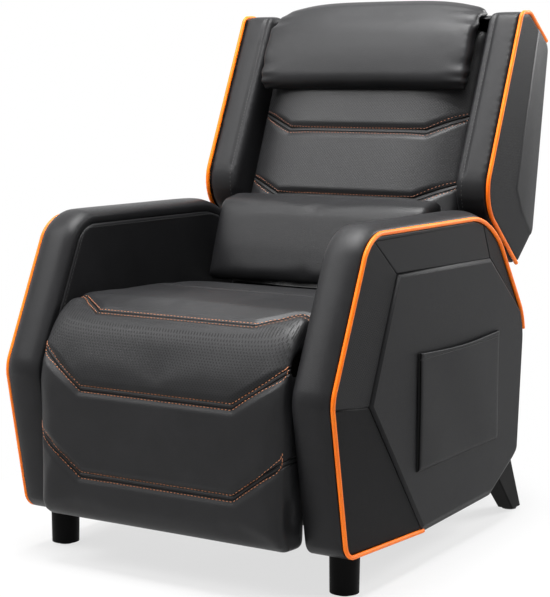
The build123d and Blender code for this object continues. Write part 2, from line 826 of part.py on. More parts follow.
def build_leg_rest_cushion():
    cheek_inner_x = seat_frame_half_width + rest_cheek_gap
    board_seat_y = board_front_y - soft_gap
    leaf_seat_y = leaf_front_y - soft_gap
    leaf_low_z = hinge_z - board_leaf_depth - soft_gap
    middle_z = (rest_shoulder_z + rest_bottom_z) / 2
    with BuildPart() as cushion:
        with BuildSketch(side_plane(-cushion_half_width)):
            with BuildLine():
                Polyline((leaf_seat_y, rest_fold_inner_z), (rest_fold_y, rest_fold_z),
                         (rest_shoulder_y, rest_shoulder_z))
                ThreePointArc((rest_shoulder_y, rest_shoulder_z), (rest_front_y, middle_z),
                              (rest_bottom_y, rest_bottom_z))
                Polyline((rest_bottom_y, rest_bottom_z), (board_seat_y, rest_bottom_z),
                         (board_seat_y, leaf_low_z), (leaf_seat_y, leaf_low_z),
                         (leaf_seat_y, rest_fold_inner_z))
            make_face()
        extrude(amount=2 * cushion_half_width)
        long_edges = cushion.edges().filter_by(Axis.X)
        fillet(long_edges.sort_by_distance((0, rest_bottom_y, rest_bottom_z))[0], rest_bottom_radius)
        for side in (-1, 1):
            low_x, high_x = sorted((side * cheek_inner_x, side * cushion_half_width))
            add(block(low_x, high_x, board_seat_y, board_front_y + rest_cheek_depth,
                      rest_bottom_z, hinge_z - rest_cheek_drop))
        for side in (0, -1):
            end = cushion.faces().filter_by(Axis.X).sort_by(Axis.X)[side]
            fillet(end.edges().filter_by(is_in_front_of_board), cushion_side_radius)
        for corner_z, end_z in ((rest_upper_channel_z, rest_upper_channel_end_z),
                                (rest_lower_channel_z, rest_lower_channel_end_z)):
            for shift in (-channel_spacing / 2, channel_spacing / 2):
                line = []
                for x, z in ((-cushion_half_width, end_z), (-rest_channel_corner_x, corner_z),
                             (rest_channel_corner_x, corner_z), (cushion_half_width, end_z)):
                    line.append((x, leg_rest_front(z + shift) - channel_lift, z + shift))
                add(groove(line), mode=Mode.SUBTRACT)
    save(cushion.part, "leg_rest_cushion")


def leg_rest_front(z):
    # where the front of the leg rest stands at a height: the sloping facet or the bulged face below it
    if z > rest_shoulder_z:
        share = (z - rest_shoulder_z) / (rest_fold_z - rest_shoulder_z)
        return rest_shoulder_y + share * (rest_fold_y - rest_shoulder_y)
    middle_z = (rest_shoulder_z + rest_bottom_z) / 2
    points = [(rest_shoulder_z, -rest_shoulder_y), (middle_z, -rest_front_y), (rest_bottom_z, -rest_bottom_y)]
    return -arc_height(*points, z)


# Drive of the leg rest: shaft with cranks, push rods, brackets on the board
def strap(x_low, x_high, start, end, start_radius, end_radius):
    # a flat bar between two round eyes
    with BuildPart() as bar:
        with BuildSketch(side_plane(x_low)):
            with BuildSketch(mode=Mode.PRIVATE) as eyes:
                with Locations(start):
                    Circle(start_radius)
                with Locations(end):
                    Circle(end_radius)
            make_hull(eyes.sketch.edges())
        extrude(amount=x_high - x_low)
    return bar.part


def build_drive():
    rivet_hole = rivet_radius + rivet_clearance
    with BuildPart() as shaft:
        add(round_bar(-shaft_half_length, shaft_half_length, shaft_y, shaft_z, shaft_radius))
        for side in (-1, 1):
            low_x, high_x = sorted((side * crank_inner_x, side * crank_outer_x))
            add(strap(low_x, high_x, (shaft_y, shaft_z), (crank_pivot_y, crank_pivot_z),
                      crank_boss_radius, crank_eye_radius))
            add(round_bar(low_x - overrun, high_x + overrun, crank_pivot_y, crank_pivot_z, rivet_hole),
                mode=Mode.SUBTRACT)
        add(round_bar(-half_width, half_width, shaft_y, shaft_z, shaft_radius - shaft_wall),
            mode=Mode.SUBTRACT)
    save(shaft.part, "drive_shaft")

    with BuildPart() as plate:
        plate_inner_x = seat_frame_half_width - seat_side_member - bearing_plate_thickness
        plate_low_z = seat_frame_top_z - seat_frame_height - bearing_plate_drop
        add(block(plate_inner_x, plate_inner_x + bearing_plate_thickness, shaft_y - bearing_plate_depth / 2,
                  shaft_y + bearing_plate_depth / 2, plate_low_z, seat_frame_top_z))
        add(round_bar(plate_inner_x - overrun, seat_frame_half_width, shaft_y, shaft_z,
                      shaft_radius + shaft_clearance), mode=Mode.SUBTRACT)
    save_pair(plate.part, "bearing_plate")

    with BuildPart() as rod:
        add(strap(rod_inner_x, rod_outer_x, (crank_pivot_y, crank_pivot_z),
                  (bracket_pivot_y, bracket_pivot_z), crank_eye_radius, crank_eye_radius))
        for y, z in ((crank_pivot_y, crank_pivot_z), (bracket_pivot_y, bracket_pivot_z)):
            add(round_bar(rod_inner_x - overrun, rod_outer_x + overrun, y, z, rivet_hole), mode=Mode.SUBTRACT)
    save_pair(rod.part, "push_rod")

    with BuildPart() as rivets:
        for y, z in ((crank_pivot_y, crank_pivot_z), (bracket_pivot_y, bracket_pivot_z)):
            inner = crank_inner_x - rod_gap - rivet_head_height
            outer = rod_outer_x + rivet_head_height
            add(round_bar(inner, outer, y, z, rivet_radius))
            add(round_bar(inner, inner + rivet_head_height, y, z, rivet_head_radius))
            add(round_bar(outer - rivet_head_height, outer, y, z, rivet_head_radius))
        mirror(about=Plane.YZ)
    save(rivets.part, "linkage_rivets")

    with BuildPart() as bracket:
        with BuildSketch(side_plane(crank_inner_x)):
            with BuildSketch(mode=Mode.PRIVATE) as shape:
                with Locations((bracket_pivot_y, bracket_pivot_z)):
                    Circle(crank_eye_radius)
                with Locations((board_rear_y + bracket_foot_depth / 2, bracket_pivot_z)):
                    Rectangle(bracket_foot_depth, bracket_height)
            make_hull(shape.sketch.edges())
        extrude(amount=crank_thickness)
        add(block(crank_outer_x - bracket_foot_width, crank_outer_x, board_rear_y,
                  board_rear_y + bracket_foot_depth, bracket_pivot_z - bracket_height / 2,
                  bracket_pivot_z + bracket_height / 2))
        add(round_bar(crank_inner_x - overrun, crank_outer_x + overrun, bracket_pivot_y, bracket_pivot_z,
                      rivet_hole), mode=Mode.SUBTRACT)
    save_pair(bracket.part, "leg_rest_bracket")


# Backrest
def back_front_y(z, depth=0):
    # the leaning line of the back at a height, a given depth behind the front of the pad
    return back_reference_y + (z - back_reference_z) * math.tan(lean) + depth / math.cos(lean)


def back_plane(depth):
    # local x runs across, local y up the lean from the height of the pivot, the normal points forward
    return Plane(origin=(0, back_front_y(pivot_z, depth), pivot_z), x_dir=(1, 0, 0),
                 z_dir=(0, -math.cos(lean), math.sin(lean)))


def up_lean(z):
    # distance up a leaning plane to the height z
    return (z - pivot_z) / math.cos(lean)


def back_box(half, low_z, high_z, front_depth, rear_depth):
    with BuildPart() as slab:
        with BuildSketch(back_plane(rear_depth)):
            with Locations((0, (up_lean(low_z) + up_lean(high_z)) / 2)):
                Rectangle(2 * half, up_lean(high_z) - up_lean(low_z))
        extrude(amount=rear_depth - front_depth)
    return slab.part


frame_depth = back_pad_thickness + soft_gap + webbing_thickness
frame_rear_depth = frame_depth + back_frame_thickness


def build_back_frame():
    middle_z = (back_frame_bottom_z + back_frame_top_z) / 2
    with BuildPart() as frame:
        add(back_box(back_frame_half_width, back_frame_bottom_z, back_frame_top_z, frame_depth,
                     frame_rear_depth))
        for low_z, high_z in ((back_frame_bottom_z + back_frame_member, middle_z - back_frame_member / 2),
                              (middle_z + back_frame_member / 2, back_frame_top_z - back_frame_member)):
            add(back_box(back_frame_half_width - back_frame_member, low_z, high_z, frame_depth - overrun,
                         frame_rear_depth + overrun), mode=Mode.SUBTRACT)
    save(frame.part, "back_frame")


def build_webbing():
    low = up_lean(back_frame_bottom_z) + 2 * webbing_width
    high = up_lean(back_frame_top_z) - webbing_width
    with BuildPart() as webbing:
        with BuildSketch(back_plane(frame_depth)):
            for index in range(webbing_count):
                with Locations((0, low + (high - low) * index / (webbing_count - 1))):
                    Rectangle(2 * webbing_half_length, webbing_width)
        extrude(amount=webbing_thickness)
    save(webbing.part, "back_webbing")


pad_side = [(back_pad_flat_half_width, back_pad_thickness), (back_pad_bend_x, back_pad_bend_thickness),
            (back_pad_half_width, back_pad_edge_thickness)]


def build_back_pad():
    # the cross section, drawn square to the lean, flat in the middle and falling away in an arc to each
    # side, is pulled up the lean
    rear = back_plane(back_pad_thickness)
    low = up_lean(back_pad_bottom_z)
    section_plane = Plane(origin=rear.origin + rear.y_dir * low, x_dir=(1, 0, 0), z_dir=rear.y_dir)
    with BuildPart() as pad:
        with BuildSketch(section_plane):
            with BuildLine():
                right_side = [(x, -depth) for x, depth in pad_side]
                left_side = [(-x, -depth) for x, depth in reversed(pad_side)]
                Line(left_side[-1], right_side[0])
                ThreePointArc(*right_side)
                Polyline(right_side[-1], (back_pad_half_width, 0), (-back_pad_half_width, 0), left_side[0])
                ThreePointArc(*left_side)
            make_face()
        extrude(amount=up_lean(back_pad_top_z) - low)
        for z in (upper_chevron_z, lower_chevron_z):
            for shift in (-channel_spacing / 2, channel_spacing / 2):
                add(chevron(up_lean(z) + shift), mode=Mode.SUBTRACT)
    save(pad.part, "back_pad")


def chevron(height):
    # one sewn line across the pad, turned up at both sides where the pad falls away
    plane = back_plane(back_pad_thickness)
    line = []
    for inset_x in (chevron_corner_inset, chevron_knee_inset, chevron_bend_inset, chevron_end_inset):
        x = back_pad_half_width - inset_x
        rise = chevron_rise * (chevron_corner_inset - inset_x) / (chevron_corner_inset - chevron_end_inset)
        out = arc_height(*pad_side, x) if x > back_pad_flat_half_width else back_pad_thickness
        line.append((x, height + rise, out + channel_lift))
    line = [(-x, y, z) for x, y, z in reversed(line)] + line
    return groove([plane.from_local_coords(point) for point in line])


def build_back_plates():
    plate_x = back_frame_half_width
    bracket_x = inner_x - back_plate_thickness
    eye = (pivot_y, pivot_z)
    top = (back_front_y(back_plate_top_z, frame_depth + back_frame_thickness / 2), back_plate_top_z)
    with BuildPart() as plate:
        add(strap(plate_x, plate_x + back_plate_thickness, eye, top, pivot_eye_radius, back_plate_width / 2))
        add(round_bar(plate_x - overrun, inner_x, *eye, pivot_radius + pivot_clearance), mode=Mode.SUBTRACT)
    save_pair(plate.part, "back_plate")

    foot = recline_bracket_top_z - recline_bracket_bottom_z
    with BuildPart() as bracket:
        with BuildSketch(side_plane(bracket_x)):
            with BuildSketch(mode=Mode.PRIVATE) as shape:
                with Locations(eye):
                    Circle(pivot_eye_radius)
                with Locations((recline_bracket_front_y + foot / 2, recline_bracket_bottom_z + foot / 2)):
                    Rectangle(foot, foot)
            make_hull(shape.sketch.edges())
        extrude(amount=back_plate_thickness)
        add(round_bar(bracket_x - overrun, inner_x, *eye, pivot_radius + bolt_hole_clearance),
            mode=Mode.SUBTRACT)
    save_pair(bracket.part, "recline_bracket")

    head_x = plate_x - bolt_head_gap - pivot_head_height
    with BuildPart() as bolts:
        add(round_bar(head_x, inner_x, *eye, pivot_radius))
        with BuildSketch(side_plane(head_x)):
            with Locations(eye):
                RegularPolygon(pivot_head_radius, 6)
        extrude(amount=pivot_head_height)
        mirror(about=Plane.YZ)
    save(bolts.part, "recline_pivot_bolts")


# Wings
wing_corners = [place(share, wing_front_y, wing_depth, wing_bottom_z, wing_height)
                for share in wing_corner_shares]


def wing_outline(x, distances):
    radii = [max(radius - max(distances[i], distances[i - 1]), piping_radius)
             for i, radius in enumerate(wing_corner_radii)]
    return outline(side_plane(x), moved(wing_corners, distances), radii)


def build_wings():
    seam_x = wing_outer_x - 2 * piping_radius
    rim = [wing_rim_inset * share for share in wing_crown_shares]
    crown = [-wing_crown * share for share in wing_crown_shares]
    piped = [2 * piping_radius, 2 * piping_radius, 0, 0, 2 * piping_radius, 2 * piping_radius]
    with BuildPart() as wing:
        loft([
            wing_outline(wing_inner_x, rim),
            wing_outline(wing_inner_x + wing_rim_width, [rim_step_share * distance for distance in rim]),
            wing_outline((wing_inner_x + seam_x) / 2, crown),
            wing_outline(seam_x, [0] * len(wing_corners)),
        ])
        extrude(wing_outline(seam_x, piped), amount=2 * piping_radius - wing_side_proud)
        outer_edges = wing.faces().sort_by(Axis.X)[-1].edges()
        chamfer(outer_edges, length=wing_side_rim / 2, length2=wing_side_rim)
    save_pair(wing.part, "wing")

    line = inset(wing_corners, piping_radius)
    top_front, front, tip, low_rear, rear_top, top = line
    end = (Vector(*top) * (1 - wing_piping_end_share) + Vector(*rear_top) * wing_piping_end_share)
    radii = [wing_corner_radii[i] - piping_radius for i in (1, 0, 5)]
    with BuildPart() as piping:
        with BuildLine(side_plane(wing_outer_x - piping_radius)) as path:
            FilletPolyline(tip, front, top_front, top, (end.X, end.Y), radius=radii)
        with BuildSketch(Plane(path.line @ 0, z_dir=path.line % 0)):
            Circle(piping_radius - piping_gap)
        sweep(path=path.line)
    save_pair(piping.part, "wing_piping")


def build_rear_cover():
    corners = [(cover_top_y, cover_top_z), (cover_top_front_y, cover_top_front_z),
               (cover_bottom_y - cover_thickness, cover_bottom_z), (cover_bottom_y, cover_bottom_z),
               (cover_waist_y, cover_waist_z), (cover_shoulder_y, cover_shoulder_z)]
    walls = [cover_thickness, -overrun, -overrun, cover_thickness, cover_thickness, cover_thickness]
    with BuildPart() as cover:
        with BuildSketch(side_plane(-back_frame_half_width)):
            with BuildLine():
                Polyline(*corners, close=True)
            make_face()
            with BuildLine():
                Polyline(*moved(corners, walls), close=True)
            make_face(mode=Mode.SUBTRACT)
        extrude(amount=2 * back_frame_half_width)
    save(cover.part, "rear_cover")


# Pillows
def head_section(x, shrink):
    # closed side outline of the head pillow, drawn in by a distance all round
    with BuildSketch(side_plane(x)) as section:
        with BuildLine():
            bottom = (back_front_y(head_bottom_z) - soft_gap, head_bottom_z + shrink)
            bulge = (back_front_y(head_bulge_z) - head_bulge + shrink, head_bulge_z)
            upper = (back_front_y(head_upper_z) - head_upper_bulge + shrink, head_upper_z)
            top = (head_top_y, head_top_z - shrink)
            crest = (head_crest_y - shrink / 2, head_crest_z - shrink)
            under = (head_under_y - shrink, head_under_z)
            inner_z = cover_top_z + soft_gap
            inner = (back_front_y(inner_z) - soft_gap, inner_z)
            ThreePointArc(bottom, bulge, upper)
            brow = ((upper[0] + top[0]) / 2 - head_brow, (upper[1] + top[1]) / 2 + head_brow / 2)
            ThreePointArc(upper, brow, top)
            ThreePointArc(top, crest, under)
            Line(under, inner)
            Line(inner, bottom)
        make_face()
    return section.sketch


def build_head_pillow():
    inner = head_half_width - head_end_width
    sections = [head_section(-head_half_width, head_end_inset), head_section(-inner, 0),
                head_section(inner, 0), head_section(head_half_width, head_end_inset)]
    with BuildPart() as pillow_body:
        loft(sections, ruled=True)
    save(pillow_body.part, "head_pillow")


def lumbar_section(x, shrink):
    with BuildSketch(side_plane(x)) as section:
        with BuildLine():
            rear_low = (back_front_y(lumbar_bottom_rear_z) - soft_gap, lumbar_bottom_rear_z)
            front_low = (lumbar_bottom_front_y + shrink, lumbar_bottom_front_z)
            belly = (lumbar_belly_y + shrink, lumbar_belly_z)
            brow = (lumbar_brow_y + shrink / 2, lumbar_brow_z - shrink / 2)
            top = (lumbar_top_y, lumbar_top_z - shrink / 2)
            rear_top_z = lumbar_rear_top_z - shrink / 2
            rear_top = (back_front_y(rear_top_z) - soft_gap, rear_top_z)
            Line(rear_low, front_low)
            ThreePointArc(front_low, belly, brow)
            ThreePointArc(brow, top, rear_top)
            Line(rear_top, rear_low)
        make_face()
    return section.sketch


def build_lumbar_pillow():
    inner = lumbar_half_width - lumbar_end_width
    sections = [lumbar_section(-lumbar_half_width, lumbar_end_inset), lumbar_section(-inner, 0),
                lumbar_section(inner, 0), lumbar_section(lumbar_half_width, lumbar_end_inset)]
    with BuildPart() as pillow_body:
        loft(sections, ruled=True)
    save(pillow_body.part, "lumbar_pillow")


build_arm_band()
build_arm_frame()
build_arm_inner_pad()
build_arm_side_panels()
build_arm_piping()
build_side_pocket()
build_legs()
build_cross_tube(front_tube_y, "front_cross_tube")
build_cross_tube(rear_tube_y, "rear_cross_tube")
build_frame_bolts()
build_slides()
build_seat_frame()
build_seat_springs()
build_hinge()
build_board()
build_seat_cushion()
build_leg_rest_cushion()
build_drive()
build_back_frame()
build_webbing()
build_back_pad()
build_back_plates()
build_wings()
build_rear_cover()
build_head_pillow()
build_lumbar_pillow()
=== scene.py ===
from functools import partialmethod
from math import copysign, cos, pi, radians, sin, tan

import bpy
from mathutils import Matrix, Vector
from mathutils.bvhtree import BVHTree


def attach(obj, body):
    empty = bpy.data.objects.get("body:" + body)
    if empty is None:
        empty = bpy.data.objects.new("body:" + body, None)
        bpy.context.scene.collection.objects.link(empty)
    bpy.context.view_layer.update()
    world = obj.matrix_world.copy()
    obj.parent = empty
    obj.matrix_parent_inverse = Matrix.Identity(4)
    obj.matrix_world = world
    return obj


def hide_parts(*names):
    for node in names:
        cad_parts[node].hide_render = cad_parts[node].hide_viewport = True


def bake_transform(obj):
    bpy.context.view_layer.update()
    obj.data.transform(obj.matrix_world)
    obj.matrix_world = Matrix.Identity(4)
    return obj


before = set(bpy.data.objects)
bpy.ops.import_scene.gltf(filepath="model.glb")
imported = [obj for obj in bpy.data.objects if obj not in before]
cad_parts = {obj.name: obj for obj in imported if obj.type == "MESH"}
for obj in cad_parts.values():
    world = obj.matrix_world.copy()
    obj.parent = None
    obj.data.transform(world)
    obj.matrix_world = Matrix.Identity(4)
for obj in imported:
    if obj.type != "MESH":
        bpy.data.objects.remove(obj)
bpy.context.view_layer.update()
scene = bpy.context.scene
samePoint = 0.0001  # metres; two points this near are one
samePlane = 0.00001  # and so are two planes across X
facing = 0.9  # a face looks along an axis when that part of its normal is above this


def clamp(value):
    return max(0.0, min(1.0, value))


def runsOf(line):  # each point of a line with the next
    return zip(line[:-1], line[1:])


def bothSides(line):  # a line from one side to the middle, continued to the other side
    return line + [(-x, y, z) for x, y, z in reversed(line)]


# selecting and shaping
def deselectAll():
    bpy.ops.object.select_all(action="DESELECT")


def pick(piece):
    deselectAll()
    piece.select_set(True)
    bpy.context.view_layer.objects.active = piece


def setPlace(piece):  # leaves the origin at zero, the place in the mesh
    pick(piece)
    bpy.ops.object.transform_apply(location=True, rotation=True, scale=True)


def addBlock(name, low, high):
    deselectAll()
    middle = [(a + b) / 2 for a, b in zip(low, high)]
    size = [b - a for a, b in zip(low, high)]
    bpy.ops.mesh.primitive_cube_add(size=1, location=middle, scale=size)
    piece = bpy.context.object
    piece.name = name
    setPlace(piece)
    return piece


def selectOnly(piece, edges, wanted):  # goes over the edges, or else over the faces
    mesh = piece.data
    bpy.context.tool_settings.mesh_select_mode = (False, edges, not edges)
    for part in (mesh.vertices, mesh.edges, mesh.polygons):
        part.foreach_set("select", [False] * len(part))
    for item in mesh.edges if edges else mesh.polygons:
        item.select = wanted(item)
    pick(piece)
    bpy.ops.object.mode_set(mode="EDIT")


def selectEdges(piece, wanted):  # wanted takes an edge's two end points
    points = piece.data.vertices
    selectOnly(piece, True, lambda edge: wanted(*(points[i].co for i in edge.vertices)))


def selectFaces(piece, wanted):  # wanted takes a face's normal
    selectOnly(piece, False, lambda face: wanted(face.normal))


def editDone():
    bpy.ops.object.mode_set(mode="OBJECT")


def bevelEdges(piece, wanted, width, segments):
    selectEdges(piece, wanted)
    bpy.ops.mesh.bevel(offset=width, segments=segments, affect="EDGES")
    editDone()


def bevelEnds(piece, half, width, segments):  # rounds the outlines at both ends of a piece
    def atEnd(a, b):
        return min(abs(a.x), abs(b.x)) > half - samePlane and abs(a.x - b.x) < samePlane

    bevelEdges(piece, atEnd, width, segments)


def planeCuts(piece, cuts, clear):  # each cut is a point and the direction away from what stays
    pick(piece)
    bpy.ops.object.mode_set(mode="EDIT")
    for point, away in cuts:
        bpy.ops.mesh.select_all(action="SELECT")
        bpy.ops.mesh.bisect(plane_co=point, plane_no=away, use_fill=clear, clear_outer=clear)
    if clear:
        bpy.ops.mesh.select_all(action="SELECT")
        bpy.ops.mesh.normals_make_consistent(inside=False)
    editDone()


def lineCuts(line):  # cuts along a line in the side view, which keep what is to its left
    return [((0, a[0], a[1]), (0, b[1] - a[1], a[0] - b[0])) for a, b in runsOf(line)]


def addLoops(piece, axis, places):  # edges round the piece at these places along an axis
    away = [float(i == axis) for i in range(3)]
    planeCuts(piece, [([part * place for part in away], away) for place in places], False)


def insetOutline(corners, distance):
    edges = []
    for a, b in runsOf(corners + corners[:1]):
        run = Vector((b[0] - a[0], b[1] - a[1])).normalized()
        edges.append((Vector(a) + Vector((-run.y, run.x)) * distance, run))
    points = []
    for i, (start, run) in enumerate(edges):
        before, beforeRun = edges[i - 1]
        along = (start - before).cross(run) / beforeRun.cross(run)
        points.append(tuple(before + beforeRun * along))
    return points


def outlineBlock(name, corners, radii, lowX, highX, steps=8):
    # a block cut to a side outline, with its corners rounded
    spare = 0.02
    low, high = ([edge(values) for values in zip(*corners)] for edge in (min, max))
    piece = addBlock(name, [lowX] + [v - spare for v in low], [highX] + [v + spare for v in high])
    planeCuts(piece, lineCuts(corners + corners[:1]), True)
    for i, corner in enumerate(corners):
        before, after = Vector(corners[i - 1]), Vector(corners[(i + 1) % len(corners)])
        here = Vector(corner)
        angle = (before - here).angle(after - here)
        bevelEdges(piece, lambda a, b: all((p.yz - here).length < samePoint for p in (a, b)),
                   radii[i] / tan(angle / 2), steps)
    return piece


def insetBlock(name, shape, distance, least, lowX, highX, steps=8):
    # the block of an outline that is drawn in, no radius of it below the least
    radii = [max(radius - distance, least) for radius in shape["radii"]]
    return outlineBlock(name, insetOutline(shape["corners"], distance), radii, lowX, highX, steps)


def moveEach(piece, shift):  # shift takes a point and its normal and gives the move
    mesh = piece.data
    normals = [v.normal.copy() for v in mesh.vertices]
    for v, n in zip(mesh.vertices, normals):
        v.co += shift(v.co.copy(), n)
    mesh.update()


def applied(piece, kind, **settings):
    pick(piece)
    modifier = piece.modifiers.new(kind.lower(), kind)
    for key, value in settings.items():
        setattr(modifier, key, value)
    bpy.ops.object.modifier_apply(modifier=modifier.name)


def foldEdge(piece, side, rings):
    # draws in and raises the face on one side of X by rings, each of a width and a height
    selectFaces(piece, lambda normal: normal.x * side > facing)
    for width, height in rings:
        bpy.ops.mesh.inset(thickness=width, depth=height, use_even_offset=False)
    editDone()


def refine(piece):
    applied(piece, "SUBSURF", levels=1, render_levels=1)


def joined(pieces, name):
    deselectAll()
    for piece in pieces:
        piece.select_set(True)
    bpy.context.view_layer.objects.active = pieces[0]
    bpy.ops.object.join()
    pieces[0].name = name
    return pieces[0]


def mirrored(piece, name):
    pick(piece)
    bpy.ops.object.duplicate()
    other = bpy.context.object
    other.name = name
    other.scale.x = -1
    setPlace(other)
    planeCuts(other, [], True)  # turns the normals outward again
    return other


stuffing = {"frames": 20, "stretch": 40}


def inflate(piece, form, held):
    # the cover swells under its stuffing where it isn't held, no point further than the cap
    before = [v.co.copy() for v in piece.data.vertices]
    cloth = piece.modifiers.new("stuffing", "CLOTH")
    group = piece.vertex_groups.new(name="held")
    group.add([v.index for v in piece.data.vertices if held(v.co)], 1.0, "REPLACE")
    cloth.settings.vertex_group_mass = "held"
    cloth.settings.use_pressure = True
    cloth.settings.uniform_pressure_force = form["pressure"]
    cloth.settings.effector_weights.gravity = 0
    cloth.settings.bending_stiffness = form["stiffness"]
    cloth.settings.tension_stiffness = stuffing["stretch"]
    cloth.settings.compression_stiffness = stuffing["stretch"]
    for number in range(1, stuffing["frames"] + 1):
        scene.frame_set(number)
    pick(piece)
    bpy.ops.object.modifier_apply(modifier=cloth.name)
    scene.frame_set(1)
    for v, old in zip(piece.data.vertices, before):
        move = v.co - old
        if move.length > form["cap"]:
            v.co = old + move.normalized() * form["cap"]


def stuffed(piece, form, held, shift=None):  # makes a piece into a soft cover
    applied(piece, "REMESH", mode="VOXEL", voxel_size=form["voxel"])
    if shift:
        moveEach(piece, shift)
    inflate(piece, form, held)
    applied(piece, "SMOOTH", factor=0.5, iterations=form["smoothing"])


def pressLine(piece, line, width, depth):  # draws the surface in along a sewn line
    runs = list(runsOf([Vector(point) for point in line]))

    def draw(point, normal):
        nearest = width
        for a, b in runs:
            along = clamp((point - a).dot(b - a) / (b - a).length_squared)
            nearest = min(nearest, (point - a - (b - a) * along).length)
        return normal * (-depth * (1 - (nearest / width) ** 2) ** 2)

    moveEach(piece, draw)


stitch = {
    "length": 0.0046, "width": 0.0013, "height": 0.001, "lift": 0.0001, "pitch": 0.0072,
    "apart": 0.0042,  # a row lies this far to each side of its seam
}


def threadRow(name, target, lines, finish):
    # one stitch, copied along the lines and laid on the cover
    tree = BVHTree.FromObject(target, bpy.context.evaluated_depsgraph_get())
    deselectAll()
    bpy.ops.mesh.primitive_uv_sphere_add(segments=6, ring_count=4, radius=0.5)
    first = bpy.context.object
    size = Matrix.Diagonal((stitch["length"], stitch["width"], stitch["height"], 1))
    copies = []
    for line in lines:
        for a, b in runsOf([Vector(point) for point in line]):
            count = max(1, int((b - a).length / stitch["pitch"]))
            for i in range(count):
                # the middle of the stitch, and a place ahead of it
                place, normal = tree.find_nearest(a + (b - a) * ((i + 0.5) / count))[:2]
                ahead = tree.find_nearest(a + (b - a) * ((i + 0.9) / count))[0]
                run = (ahead - place).normalized()
                side = normal.cross(run).normalized()
                up = run.cross(side)
                one = first.copy()
                one.data = first.data.copy()
                bpy.context.collection.objects.link(one)
                turn = Matrix((run, side, up)).transposed().to_4x4()
                one.matrix_world = Matrix.Translation(place + up * stitch["lift"]) @ turn @ size
                copies.append(one)
    bpy.data.objects.remove(first)
    row = joined(copies, name)
    setPlace(row)
    dress(row, finish)
    return row


def dress(piece, finish):
    piece.data.materials.clear()
    piece.data.materials.append(finish)


def finished(piece, finish, angle=80):  # bends sharper than the angle stay sharp
    pick(piece)
    bpy.ops.object.shade_smooth_by_angle(angle=radians(angle))
    dress(piece, finish)
    return piece


def fit(piece, node, body):  # a piece takes the place of a node of the frame
    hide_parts(node)
    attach(piece, body)


def fitPair(left, node, body):  # and with its mirror image the places of two
    right = mirrored(left, left.name.replace("left", "right"))
    fit(left, f"{node}_left", body)
    fit(right, f"{node}_right", body)


# shader maths
class Wire:
    def __init__(self, tree, socket=None):
        self.tree = tree
        self.socket = socket

    def node(self, kind, settings={}, inputs={}, output=0):
        made = self.tree.nodes.new(kind)
        for key, value in settings.items():
            setattr(made, key, value)
        for key, value in inputs.items():
            if isinstance(value, Wire):
                self.tree.links.new(value.socket, made.inputs[key])
            else:
                made.inputs[key].default_value = value
        return Wire(self.tree, made.outputs[output])

    def maths(self, operation, other=0.0):
        return self.node("ShaderNodeMath", {"operation": operation}, {0: self, 1: other})

    __add__ = __radd__ = partialmethod(maths, "ADD")
    __sub__ = partialmethod(maths, "SUBTRACT")
    __mul__ = __rmul__ = partialmethod(maths, "MULTIPLY")
    __gt__ = partialmethod(maths, "GREATER_THAN")
    __lt__ = partialmethod(maths, "LESS_THAN")
    __abs__ = partialmethod(maths, "ABSOLUTE")
    atMost = partialmethod(maths, "MINIMUM")
    atLeast = partialmethod(maths, "MAXIMUM")

    def __rsub__(self, other):
        return self * -1 + other

    def over(self, other):  # how far this is above the other value, and zero below it
        return (self - other).atLeast(0.0)

    def ridge(self, width):  # one on a line where this is zero, falling to zero at the width
        t = (1 - abs(self) * (1 / width)).atLeast(0.0)
        return t * t * (3 - 2 * t)

    def mixed(self, first, second):  # this is the second colour's share
        return self.node("ShaderNodeMix", {"data_type": "RGBA"}, {0: self, 6: first, 7: second}, output=2)

    def noise(self, scale, detail, roughness=0.5):
        return self.node("ShaderNodeTexNoise", inputs={"Vector": self, "Scale": scale, "Detail": detail,
                                                       "Roughness": roughness})

    def bump(self, strength, distance, under=None):
        inputs = {"Height": self, "Strength": strength, "Distance": distance}
        if under:
            inputs["Normal"] = under
        return self.node("ShaderNodeBump", inputs=inputs)


def newFinish(name, inputs, attribute=None):  # with the place that its pattern follows
    finish = bpy.data.materials.new(name)
    finish.use_nodes = True
    wire = Wire(finish.node_tree)
    shader = finish.node_tree.nodes["Principled BSDF"]
    for key, value in inputs.items():
        shader.inputs[key].default_value = value
    if attribute:
        place = wire.node("ShaderNodeAttribute", {"attribute_name": attribute}, output="Vector")
    else:
        place = wire.node("ShaderNodeTexCoord", output="Object")
    return finish, place, shader


def connect(shader, colour, normal, roughness=None):
    for key, wire in (("Base Color", colour), ("Normal", normal), ("Roughness", roughness)):
        if wire:
            wire.tree.links.new(wire.socket, shader.inputs[key])


def split(place):
    return [place.node("ShaderNodeSeparateXYZ", inputs={0: place}, output=i) for i in range(3)]


def brighter(colour, gain):
    return tuple(min(1, part * gain) for part in colour[:3]) + (1,)


leatherLook = {
    "black": (0.0078, 0.0078, 0.0084, 1),
    "holesAndCreaseShade": (0.002, 0.002, 0.002, 1),  # colour of the holes, and the painted shade in the creases
    "specular": 0.2, "roughness": 0.28,
    "softGloss": 0.1,  # what the wrinkles and the broad patches add to it
    "broadGloss": 0.12, "fade": 1.6, "fadeGain": 1.9, "grainScale": 430.0, "grainEdge": 0.25,
    "grainHeight": 1.04, "wrinkleHeight": 0.5, "bump": 0.5, "relief": 0.0009, "holeSpacing": 0.0043,
    "wrinkles": (26.0, 4.0, 0.6),  # scale, detail and roughness of a noise
    "patches": (7.0, 2.0),
    "diagonal": 0.7071,  # of a step along each axis, as the grid is turned by 45 degrees
    "holeRadius": 0.25,  # share of the spacing
    "holeDepth": 1.4, "holeRoughness": 0.3, "holeDark": 0.8, "creaseDepth": 0.0036,
    # how far the creases are darkened with painted shade
    "creaseShade": 0.9,
}


